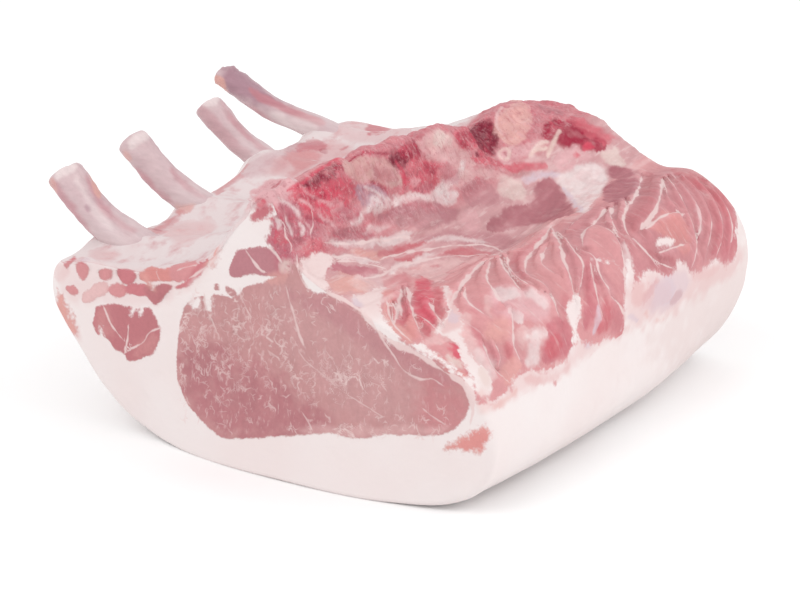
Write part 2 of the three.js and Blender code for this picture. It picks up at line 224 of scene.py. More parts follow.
def ease(value, low=0.0, high=1.0):
    """0 up to low, 1 from high, and smooth between them."""
    t = np.clip((value - low) / (high - low), 0.0, 1.0)
    return t * t * (3.0 - 2.0 * t)


def bell(distance, half_width):
    """1 at no distance, falling off on both sides."""
    return np.exp(-((distance / half_width) ** 2))


def along_piece(landmarks, x):
    """Landmarks (count, stations, 2) at each x, by Catmull-Rom: (len(x), count, 2)."""
    values = np.asarray(landmarks, float).transpose(1, 0, 2)
    t = np.clip(np.asarray(x, float) / LENGTH, 0.0, 1.0) * STATIONS
    i = np.minimum(np.floor(t).astype(int), STATIONS - 1)
    u = (t - i)[:, None, None]
    a, b, c, d = (values[np.clip(i + k, 0, STATIONS)] for k in (-1, 0, 1, 2))
    return b + 0.5 * u * (c - a + u * (2 * a - 5 * b + 4 * c - d + u * (3 * (b - c) + d - a)))


def centripetal(p, u):
    """The centripetal Catmull-Rom curve between p[1] and p[2], at the share u of the way."""
    d = [np.sum((p[k + 1] - p[k]) ** 2, axis=-1, keepdims=True) ** 0.25 for k in range(3)]
    leave = ((p[1] - p[0]) / d[0] - (p[2] - p[0]) / (d[0] + d[1]) + (p[2] - p[1]) / d[1]) * d[1]
    reach = ((p[2] - p[1]) / d[1] - (p[3] - p[1]) / (d[1] + d[2]) + (p[3] - p[2]) / d[2]) * d[1]
    cubic = 2 * p[1] - 2 * p[2] + leave + reach
    square = -3 * p[1] + 3 * p[2] - 2 * leave - reach
    return p[1] + u * (leave + u * (square + u * cubic))


def round_section(corners, position):
    """Closed curve through corners (rows, count, 2)."""
    count = corners.shape[1]
    i = np.floor(position).astype(int) % count
    u = (position - np.floor(position))[None, :, None]
    return centripetal([corners[:, (i + k) % count] for k in (-1, 0, 1, 2)], u)


def lattice(cell, seed):
    """A number from -1 to 1 for each cell, as good as random."""
    a, b, c, d = HASH_FACTORS
    with np.errstate(over="ignore"):
        x, y, z = np.moveaxis(cell.astype(np.int64).astype(np.uint32), -1, 0)
        h = x * a + y * b + z * c + np.uint32(seed * 97 + 13) * d
        h = (h ^ (h >> np.uint32(15))) * c
        h = (h ^ (h >> np.uint32(13))) * d
        h = h ^ (h >> np.uint32(16))
    return h / HALF_RANGE - 1.0


def noise(points, size, seed):
    """Smooth seeded noise from -1 to 1, with lumps of the given size (a number or one for each axis)."""
    p = points / np.asarray(size, float)
    cell = np.floor(p)
    w = p - cell
    w = w * w * w * (w * (w * 6 - 15) + 10)
    total = np.zeros(len(p))
    for corner in range(8):
        step = np.array([corner & 1, (corner >> 1) & 1, corner >> 2])
        weight = np.prod(np.where(step, w, 1 - w), axis=1)
        total += weight * lattice(cell + step, seed)
    return total


def fractal(points, size, seed, octaves=3):
    """Noise with lumps of a size, and others of half of it and less."""
    total = np.zeros(len(points))
    for k in range(octaves):
        total += noise(points, np.asarray(size, float) / 2**k, seed + k) / 2**k
    return total / (2 - 2.0 ** (1 - octaves))


# ---------- the smooth form of the whole piece ----------
RIB_X = [FIRST_RIB_X + i * RIB_PITCH for i in range(RIB_COUNT)]
VERTEBRA_X = [FIRST_VERTEBRA_X + i * (VERTEBRA_LENGTH + DISC_THICKNESS) for i in range(RIB_COUNT)]
DISC_X = [x - DISC_THICKNESS / 2 for x in VERTEBRA_X]
DISC_X.append(VERTEBRA_X[-1] + VERTEBRA_LENGTH + DISC_THICKNESS / 2)


def within(position, first, last, fade):
    """1 between two landmarks, easing to 0 over `fade` landmarks on both sides."""
    return ease(position, first - fade, first) * (1 - ease(position, last, last + fade))


def end_inset(x):
    """How far the rounding of both ends draws the section in at x."""

    def inset(distance, radius):
        short = np.maximum(0.0, radius - distance)
        return radius - np.sqrt(radius**2 - short**2)

    return inset(x, FRONT_ROUNDING) + inset(LENGTH - x, BACK_ROUNDING)


def foot_bulge(y, z):
    """How far the foot of the near cut face bulges out."""
    across = np.maximum(0.0, 1 - ((y - FOOT_BULGE["middle_y"]) / FOOT_BULGE["half_width"]) ** 2)
    up = np.maximum(0.0, 1 - z / FOOT_BULGE["height"])
    return FOOT_BULGE["out"] * across * up**2


def sample_positions():
    """Positions round a section, in landmarks: a grain apart above, and further apart underneath."""
    corners = along_piece(list(OUTLINE.values()), [LENGTH * 0.5])
    fine = np.linspace(0, TURN, TURN * FINE_STEPS + 1)
    curve = round_section(corners, fine % TURN)[0]
    step = np.linalg.norm(np.diff(curve, axis=0), axis=1)
    middle = (fine[1:] + fine[:-1]) / 2
    under = within(middle, AT["rim_under"] + 1, AT["heel"], 1.0)
    cells = step / (GRAIN + (HIDDEN_GRAIN - GRAIN) * under)
    total = np.concatenate([[0], np.cumsum(cells)])
    count = int(total[-1])
    return np.interp(np.arange(count) / count * total[-1], total, fine)


def smooth_form():
    """Points in rows from the near face's middle, along the piece, to the far face's middle."""
    position = sample_positions()
    near_shares = np.linspace(END_MIDDLE, 1, int(MEAN_RADIUS / GRAIN))[:-1]
    far_shares = np.linspace(END_MIDDLE, 1, int(MEAN_RADIUS / HIDDEN_GRAIN))[:-1][::-1]
    middle = np.linspace(FRONT_ROUNDING, LENGTH - BACK_ROUNDING, int(LENGTH / GRAIN))
    stops = np.concatenate([NEAR_BEND * FRONT_ROUNDING, middle, LENGTH - BACK_ROUNDING * FAR_BEND])
    x = np.concatenate([np.zeros(len(near_shares)), stops, np.full(len(far_shares), LENGTH)])
    share = np.concatenate([near_shares, np.ones(len(stops)), far_shares])
    end = np.concatenate([-np.ones(len(near_shares)), np.zeros(len(stops)), np.ones(len(far_shares))])

    section = round_section(along_piece(list(OUTLINE.values()), x), position)
    step = np.roll(section, -1, axis=1) - np.roll(section, 1, axis=1)
    out = np.stack([-step[..., 1], step[..., 0]], axis=-1)
    out /= np.linalg.norm(out, axis=-1, keepdims=True)

    over_ribs = within((position - AT["ridge_back"]) % TURN, *RIB_SWELL["zone"])
    ribs = np.max([bell(x - rib, RIB_SWELL["half_width"]) for rib in RIB_X], axis=0)
    on_crest = within(position - AT["ridge"], *CREST_DIP["zone"])
    dip = bell(x - CREST_DIP["x"], CREST_DIP["half_width"])
    lifted = RIB_SWELL["height"] * over_ribs * ribs[:, None] - CREST_DIP["depth"] * on_crest * dip[:, None]
    shrink = (share * (1 - end_inset(x) / MEAN_RADIUS))[:, None, None]
    section = SECTION_CENTRE + shrink * (section + lifted[..., None] * out - SECTION_CENTRE)

    y = section[..., 0]
    z = np.maximum(0.0, section[..., 1])
    near = ease(FOOT_BULGE["reach"] - x, 0.0, FOOT_BULGE["reach"])
    rows = np.stack([x[:, None] - near[:, None] * foot_bulge(y, z), y, z], axis=-1)
    position = np.broadcast_to(position, y.shape)
    end = np.broadcast_to(end[:, None], y.shape)
    return rows, position.ravel(), end.ravel()


def skin_faces(rows, count):
    """Faces of a closed tube of rings, with one many-sided face at each end."""
    r = np.arange(rows - 1)[:, None]
    k = np.arange(count)[None, :]
    after = (k + 1) % count
    corners = [r * count + k, (r + 1) * count + k, (r + 1) * count + after, r * count + after]
    quads = np.stack(corners, axis=-1).reshape(-1, 4).tolist()
    last = (rows - 1) * count
    return quads + [list(range(count)), list(range(last + count - 1, last - 1, -1))]


# ---------- meshes ----------
def new_piece(name, points, faces):
    """A mesh object from points in the cut's own frame."""
    mesh = bpy.data.meshes.new(name)
    mesh.from_pydata(((points - ORIGIN) * MM).tolist(), [], faces)
    mesh.update()
    obj = bpy.data.objects.new(name, mesh)
    bpy.context.scene.collection.objects.link(obj)
    return obj


def points_of(mesh):
    flat = np.empty(len(mesh.vertices) * 3, np.float32)
    mesh.vertices.foreach_get("co", flat)
    return flat.reshape(-1, 3) / MM + ORIGIN


def normals_of(mesh):
    flat = np.empty(len(mesh.vertices) * 3, np.float32)
    mesh.vertex_normals.foreach_get("vector", flat)
    return flat.reshape(-1, 3)


def move_points(mesh, points):
    mesh.vertices.foreach_set("co", ((points - ORIGIN) * MM).astype(np.float32).ravel())
    mesh.update()


# ---------- marks that the photograph shows ----------
# Each mark is an outline or a path in pixels of the photograph, and lies on whatever the camera sees there.
# Colours are sRGB, from 0 to 255, as they look under the even studio light.
PALETTE = {
    "fat": (248, 239, 238),
    "fat_pink": (244, 227, 225),
    "cream": (233, 209, 203),
    "white": (241, 225, 224),
    "seam": (240, 214, 212),
    "membrane": (236, 221, 221),
    "eye": (203, 152, 152),
    "eye_deep": (189, 128, 133),
    "eye_light": (207, 159, 159),
    "eye_tip": (206, 141, 144),
    "cap": (196, 126, 131),
    "cap_light": (206, 142, 143),
    "strip": (219, 152, 154),
    "strip_red": (210, 132, 138),
    "orange": (224, 150, 146),
    "peach": (231, 172, 165),
    "roll": (220, 156, 158),
    "roll_far": (204, 138, 143),
    "roll_red": (205, 110, 118),
    # painted shade for the darker facets of the roll's folds
    "painted_roll_shade": (194, 122, 127),
    "blotch": (204, 122, 130),
    "pale_pink": (233, 192, 191),
    "lilac": (220, 200, 210),
    "mauve": (194, 134, 141),
    "mauve_dark": (180, 112, 121),
    "mauve_red": (196, 118, 130),
    "valley": (212, 160, 163),
    "ridge": (210, 134, 141),
    "fibre": (229, 178, 182),
    "red": (216, 108, 120),
    "bright_red": (218, 84, 104),
    "crimson": (166, 46, 70),
    "blood": (128, 42, 60),
    "bone_grey": (214, 168, 164),
    "bone_rose": (188, 122, 128),
    "bone_lilac": (188, 152, 165),
    "cartilage": (231, 178, 172),
    "gristle": (238, 208, 199),
    "rib_meat": (216, 162, 166),
    "bone_clean": (222, 197, 199),
    # darker bone: its own cloudy tone, and painted shade where the bones meet the meat
    "bone_shade": (209, 180, 185),
    "bone_pink": (204, 152, 159),
    "bone_mauve": (170, 128, 142),
    "scrap": (226, 174, 166),
    # painted shade for the fat on the right side
    "painted_fat_shade": (240, 224, 222),
}

EYE = [
    (177, 345), (179, 327), (183, 309), (191, 299), (204, 294), (208, 303), (212, 293), (220, 295),
    (239, 297), (245, 285), (258, 282), (282, 281), (293, 279), (302, 286), (312, 291), (327, 293),
    (339, 297), (349, 303), (360, 310), (368, 322), (378, 333), (387, 338), (410, 348), (440, 365),
    (458, 377), (468, 389), (470, 404), (463, 420), (456, 429), (445, 434), (431, 436), (407, 435),
    (384, 434), (362, 438), (344, 437), (335, 434), (320, 433), (306, 435), (262, 437), (240, 440),
    (226, 440), (215, 434), (204, 423), (192, 411), (186, 400), (179, 385), (177, 376),
]
CAP = [
    (97, 304), (134, 305), (134, 309), (147, 306), (155, 313), (162, 329), (159, 345), (150, 357), (136, 362),
    (127, 360), (125, 352), (116, 351), (109, 338), (98, 336), (93, 325), (95, 311),
]
ROLL = [
    (379, 300), (382, 288), (390, 276), (404, 271), (414, 278), (440, 282), (448, 276), (458, 268),
    (470, 260), (486, 254), (503, 253), (515, 245), (528, 237), (540, 228), (551, 220), (562, 213),
    (577, 201), (592, 194), (607, 184), (618, 178), (628, 170), (638, 160), (650, 154), (668, 156),
    (690, 162), (712, 174), (728, 190), (733, 206), (734, 221), (734, 240), (735, 256), (726, 265),
    (716, 259), (708, 266), (699, 270), (692, 277), (687, 264), (678, 259), (673, 275), (662, 273),
    (649, 269), (638, 277), (631, 286), (626, 293), (624, 304), (625, 318), (622, 334), (608, 340),
    (592, 343), (585, 338), (578, 338), (575, 346), (569, 356), (558, 364), (546, 371), (530, 372),
    (520, 376), (508, 386), (500, 396), (488, 404), (474, 402), (475, 388), (470, 374), (462, 375),
    (448, 366), (434, 357), (420, 349), (405, 343), (392, 334), (382, 319),
]
# Lean that shows among fat: colour and outline.
LEAN = [
    ("eye", EYE),
    ("cap", CAP),
    ("roll", ROLL),
    ("strip", [(62, 264), (68, 257), (76, 255), (77, 260), (71, 264), (67, 270)]),
    ("strip", [(75, 264), (80, 261), (88, 264), (89, 272), (85, 281), (80, 280), (76, 271)]),
    ("strip", [(98, 274), (100, 269), (107, 267), (114, 271), (112, 280), (105, 281), (100, 279)]),
    ("strip_red", [(116, 269), (125, 266), (133, 270), (138, 276), (132, 284), (125, 286), (119, 278)]),
    ("orange", [
        (139, 275), (142, 267), (155, 265), (166, 267), (175, 272), (175, 281), (160, 282), (143, 282),
    ]),
    ("strip", [
        (171, 275), (173, 266), (184, 263), (195, 260), (198, 264), (194, 273), (187, 281), (178, 283),
        (172, 281),
    ]),
    ("strip_red", [
        (195, 267), (201, 259), (207, 255), (209, 261), (204, 270), (198, 278), (190, 285), (180, 289),
        (173, 288), (185, 282), (191, 276),
    ]),
    ("peach", [(208, 266), (211, 255), (218, 246), (222, 246), (218, 256), (212, 265)]),
    ("pale_pink", [
        (81, 302), (81, 293), (91, 289), (94, 283), (105, 282), (110, 286), (107, 295), (96, 298), (89, 303),
    ]),
    ("strip", [(109, 286), (118, 283), (128, 287), (127, 296), (116, 298), (109, 294)]),
    ("strip_red", [(125, 285), (137, 283), (149, 284), (150, 295), (138, 296), (127, 293)]),
    ("cap", [
        (145, 285), (151, 284), (153, 293), (156, 284), (174, 284), (168, 293), (162, 301), (156, 306),
        (150, 301), (146, 293),
    ]),
    ("strip", [(64, 288), (69, 284), (77, 288), (78, 295), (69, 294)]),
    ("peach", [(54, 294), (62, 296), (69, 308), (74, 324), (74, 334), (66, 326), (56, 312)]),
    ("eye", [(226, 286), (233, 288), (239, 294), (233, 297), (227, 292)]),
    ("eye", [(181, 319), (182, 312), (187, 305), (190, 308), (187, 316), (183, 321)]),
    ("eye", [(214, 284), (218, 285), (219, 290), (215, 290)]),
    ("mauve", [
        (237, 248), (248, 247), (262, 246), (272, 249), (282, 258), (286, 268), (283, 275), (272, 277),
        (262, 275), (250, 275), (240, 277), (231, 277), (229, 270), (233, 258),
    ]),
    ("mauve_red", [
        (266, 238), (274, 228), (270, 216), (280, 200), (296, 184), (318, 184), (322, 205), (322, 226),
        (318, 240), (305, 246), (298, 258), (300, 266), (296, 276), (288, 278), (280, 262), (272, 250),
    ]),
    ("fibre", [
        (246, 208), (252, 196), (258, 187), (266, 181), (284, 177), (300, 181), (294, 196), (278, 207),
        (262, 208), (254, 212),
    ]),
    ("blotch", [(251, 215), (260, 208), (270, 205), (283, 206), (277, 213), (264, 216), (254, 220)]),
    ("eye", [(262, 282), (272, 277), (284, 275), (294, 262), (302, 262), (302, 278), (308, 292), (286, 292)]),
    ("red", [(302, 246), (308, 240), (316, 239), (323, 242), (324, 248), (318, 253), (308, 254), (302, 252)]),
    ("peach", [
        (328, 284), (334, 278), (345, 275), (360, 278), (372, 282), (368, 287), (358, 292), (345, 295),
        (334, 291),
    ]),
    ("peach", [
        (442, 449), (456, 441), (468, 436), (479, 426), (491, 430), (490, 443), (482, 454), (468, 452),
        (457, 451),
    ]),
]
# Fat and gristle that shows among lean.
WHITE = [
    [(203, 290), (210, 290), (211, 300), (213, 309), (208, 312), (205, 304)],
    [(190, 298), (200, 296), (200, 304), (194, 312), (190, 306)],
    [(131, 307), (135, 302), (138, 308), (134, 313), (130, 317)],
    [(139, 305), (143, 303), (142, 312), (140, 317)],
    [(99, 327), (103, 325), (104, 333), (101, 338)],
    [
        (302, 262), (308, 255), (322, 251), (332, 257), (331, 268), (327, 278), (331, 284), (325, 291),
        (316, 292), (307, 285), (301, 274),
    ],
    [
        (349, 300), (358, 296), (368, 288), (382, 284), (389, 286), (383, 293), (379, 301), (384, 315),
        (392, 330), (404, 342), (398, 346), (386, 340), (375, 330), (364, 314),
    ],
    [
        (443, 286), (448, 284), (451, 292), (450, 302), (456, 310), (464, 314), (466, 324), (462, 330),
        (466, 342), (470, 354), (476, 364), (486, 372), (492, 384), (488, 396), (478, 394), (473, 382),
        (466, 368), (460, 352), (456, 340), (446, 334), (436, 336), (437, 328), (446, 320), (445, 306),
    ],
    [
        (571, 300), (577, 291), (584, 300), (582, 314), (578, 328), (581, 345), (574, 346), (574, 330),
        (568, 318),
    ],
    [(625, 262), (629, 254), (632, 264), (634, 282), (633, 298), (629, 314), (624, 300), (625, 282)],
    [(655, 240), (664, 235), (674, 237), (676, 244), (666, 247), (657, 246)],
    [
        (410, 345), (420, 341), (430, 349), (441, 358), (452, 366), (458, 370), (450, 370), (436, 360),
        (422, 352),
    ],
    [
        (232, 262), (226, 256), (223, 248), (226, 238), (236, 230), (250, 229), (264, 224), (269, 231),
        (266, 241), (258, 246), (244, 247), (236, 249),
    ],
]
# White lines of gristle between muscles: half the width in millimetres, and the path.
SEAMS = [
    (0.4, [(286, 286), (290, 299), (295, 315), (298, 331), (304, 345)]),
    (0.3, [(378, 334), (393, 354), (403, 370), (421, 380), (433, 378), (443, 385)]),
    (0.2, [(326, 351), (339, 367), (342, 383)]),
    (0.25, [(358, 372), (362, 384), (364, 396)]),
    (0.25, [(300, 352), (306, 362), (322, 372), (341, 391), (362, 404), (384, 416)]),
    (0.25, [(303, 412), (309, 422), (313, 430)]),
    (0.25, [(424, 408), (434, 416), (446, 424)]),
    (0.3, [(183, 321), (190, 330), (196, 345)]),
    (0.3, [(204, 294), (206, 310), (214, 322), (220, 340)]),
    (0.25, [(240, 294), (246, 308), (252, 318)]),
    (0.9, [
        (326, 292), (352, 302), (365, 316), (382, 338), (409, 349), (438, 367), (457, 379), (469, 389),
        (474, 405), (470, 424),
    ]),
    (0.35, [(104, 306), (109, 320), (114, 329), (122, 338)]),
    (0.4, [(129, 325), (128, 338), (125, 350)]),
    (0.35, [(161, 329), (150, 332), (145, 343), (132, 348), (125, 352)]),
    (0.35, [(222, 249), (211, 262), (200, 272), (189, 279)]),
    (0.3, [(156, 269), (158, 275), (161, 281)]),
    (0.25, [(178, 270), (188, 267), (196, 266)]),
    (0.35, [(247, 250), (254, 260), (262, 270), (266, 271)]),
    (0.3, [(268, 246), (276, 254), (282, 262)]),
    (0.25, [(286, 226), (284, 236), (292, 244), (290, 252)]),
    (0.2, [(276, 218), (284, 222), (292, 232)]),
    (0.25, [(312, 210), (314, 222), (310, 234)]),
    (0.45, [(296, 254), (297, 266), (301, 278), (308, 288)]),
    # the band beside the valley
    (0.5, [(324, 242), (345, 244), (360, 244), (375, 240), (395, 236), (411, 237)]),
    (0.5, [(381, 259), (400, 253), (421, 250), (451, 246), (470, 244), (483, 243), (495, 247), (503, 252)]),
    (0.4, [(411, 264), (433, 258), (461, 256), (486, 254), (500, 255)]),
    (0.4, [(364, 278), (378, 276), (387, 271), (399, 265), (412, 262)]),
    (0.35, [(332, 262), (346, 260), (360, 263), (374, 265), (386, 268)]),
    (0.35, [(330, 256), (346, 256), (364, 257), (380, 262)]),
    # the folds of the roll
    (0.65, [(503, 254), (490, 260), (476, 268), (464, 280), (456, 294), (449, 306)]),
    (0.56, [(466, 287), (465, 296), (472, 305), (484, 313)]),
    (0.49, [(490, 262), (486, 276), (492, 288), (500, 300)]),
    (0.56, [(500, 258), (505, 268), (514, 280), (521, 288)]),
    (0.49, [(507, 256), (508, 266), (517, 276), (530, 284)]),
    (0.65, [(503, 253), (516, 250), (528, 240), (538, 230), (551, 223)]),
    (0.56, [
        (551, 225), (546, 234), (536, 245), (527, 256), (523, 268), (530, 275), (544, 281), (553, 292),
        (558, 304),
    ]),
    (0.49, [(546, 246), (540, 258), (546, 266), (556, 272)]),
    (0.74, [(552, 226), (556, 236), (561, 246), (563, 258), (568, 267), (572, 280), (575, 296)]),
    (0.49, [(557, 230), (566, 238), (574, 248), (582, 260), (584, 274), (580, 290)]),
    (0.56, [(578, 246), (586, 250), (595, 256), (598, 268), (604, 281), (610, 290)]),
    (0.65, [
        (583, 244), (582, 233), (589, 225), (600, 225), (612, 231), (619, 240), (623, 254), (625, 270),
        (625, 292),
    ]),
    (0.56, [(566, 229), (576, 219), (592, 210), (607, 205)]),
    (0.49, [(606, 209), (600, 217), (592, 224)]),
    (0.56, [(614, 206), (610, 216), (614, 228), (622, 238)]),
    (0.56, [(625, 200), (628, 208), (622, 220), (626, 232), (638, 244), (650, 256), (658, 267)]),
    (0.56, [(642, 176), (637, 192), (628, 206), (622, 220)]),
    (0.81, [(663, 178), (661, 198), (656, 210), (648, 222), (640, 229)]),
    (0.49, [(664, 182), (669, 196), (676, 206), (683, 219)]),
    (0.74, [(668, 176), (678, 190), (686, 206), (691, 222), (697, 238), (697, 252), (691, 268)]),
    (0.49, [(674, 174), (688, 190), (698, 206), (702, 222), (698, 236)]),
    (0.49, [(686, 176), (702, 194), (710, 212), (712, 230), (707, 250)]),
    (0.41, [(700, 180), (714, 200), (722, 220), (722, 240), (716, 256)]),
    (0.41, [(712, 186), (726, 206), (732, 226), (730, 244)]),
    (0.49, [(646, 229), (660, 218), (672, 212), (682, 214)]),
    (0.41, [(634, 238), (646, 252), (658, 262), (672, 268)]),
    (0.41, [(660, 252), (672, 248), (684, 244)]),
    (0.56, [(393, 300), (399, 310), (394, 322)]),
    (0.56, [(408, 286), (410, 300), (414, 316), (420, 330)]),
    (0.49, [(402, 288), (399, 300), (402, 314)]),
    (0.65, [(388, 300), (390, 314), (398, 328), (410, 340)]),
    (0.56, [(430, 302), (434, 310), (442, 320)]),
    (0.56, [(414, 312), (426, 318), (436, 326)]),
    (0.65, [(484, 343), (488, 356), (496, 370), (508, 382)]),
    (0.56, [(512, 312), (513, 328), (514, 345), (520, 360)]),
    (0.49, [(496, 344), (502, 354), (500, 366)]),
    (0.56, [(550, 292), (556, 302), (560, 314)]),
    (0.56, [(590, 262), (594, 280), (598, 298), (604, 316)]),
    (0.49, [(612, 296), (620, 304), (624, 314)]),
]
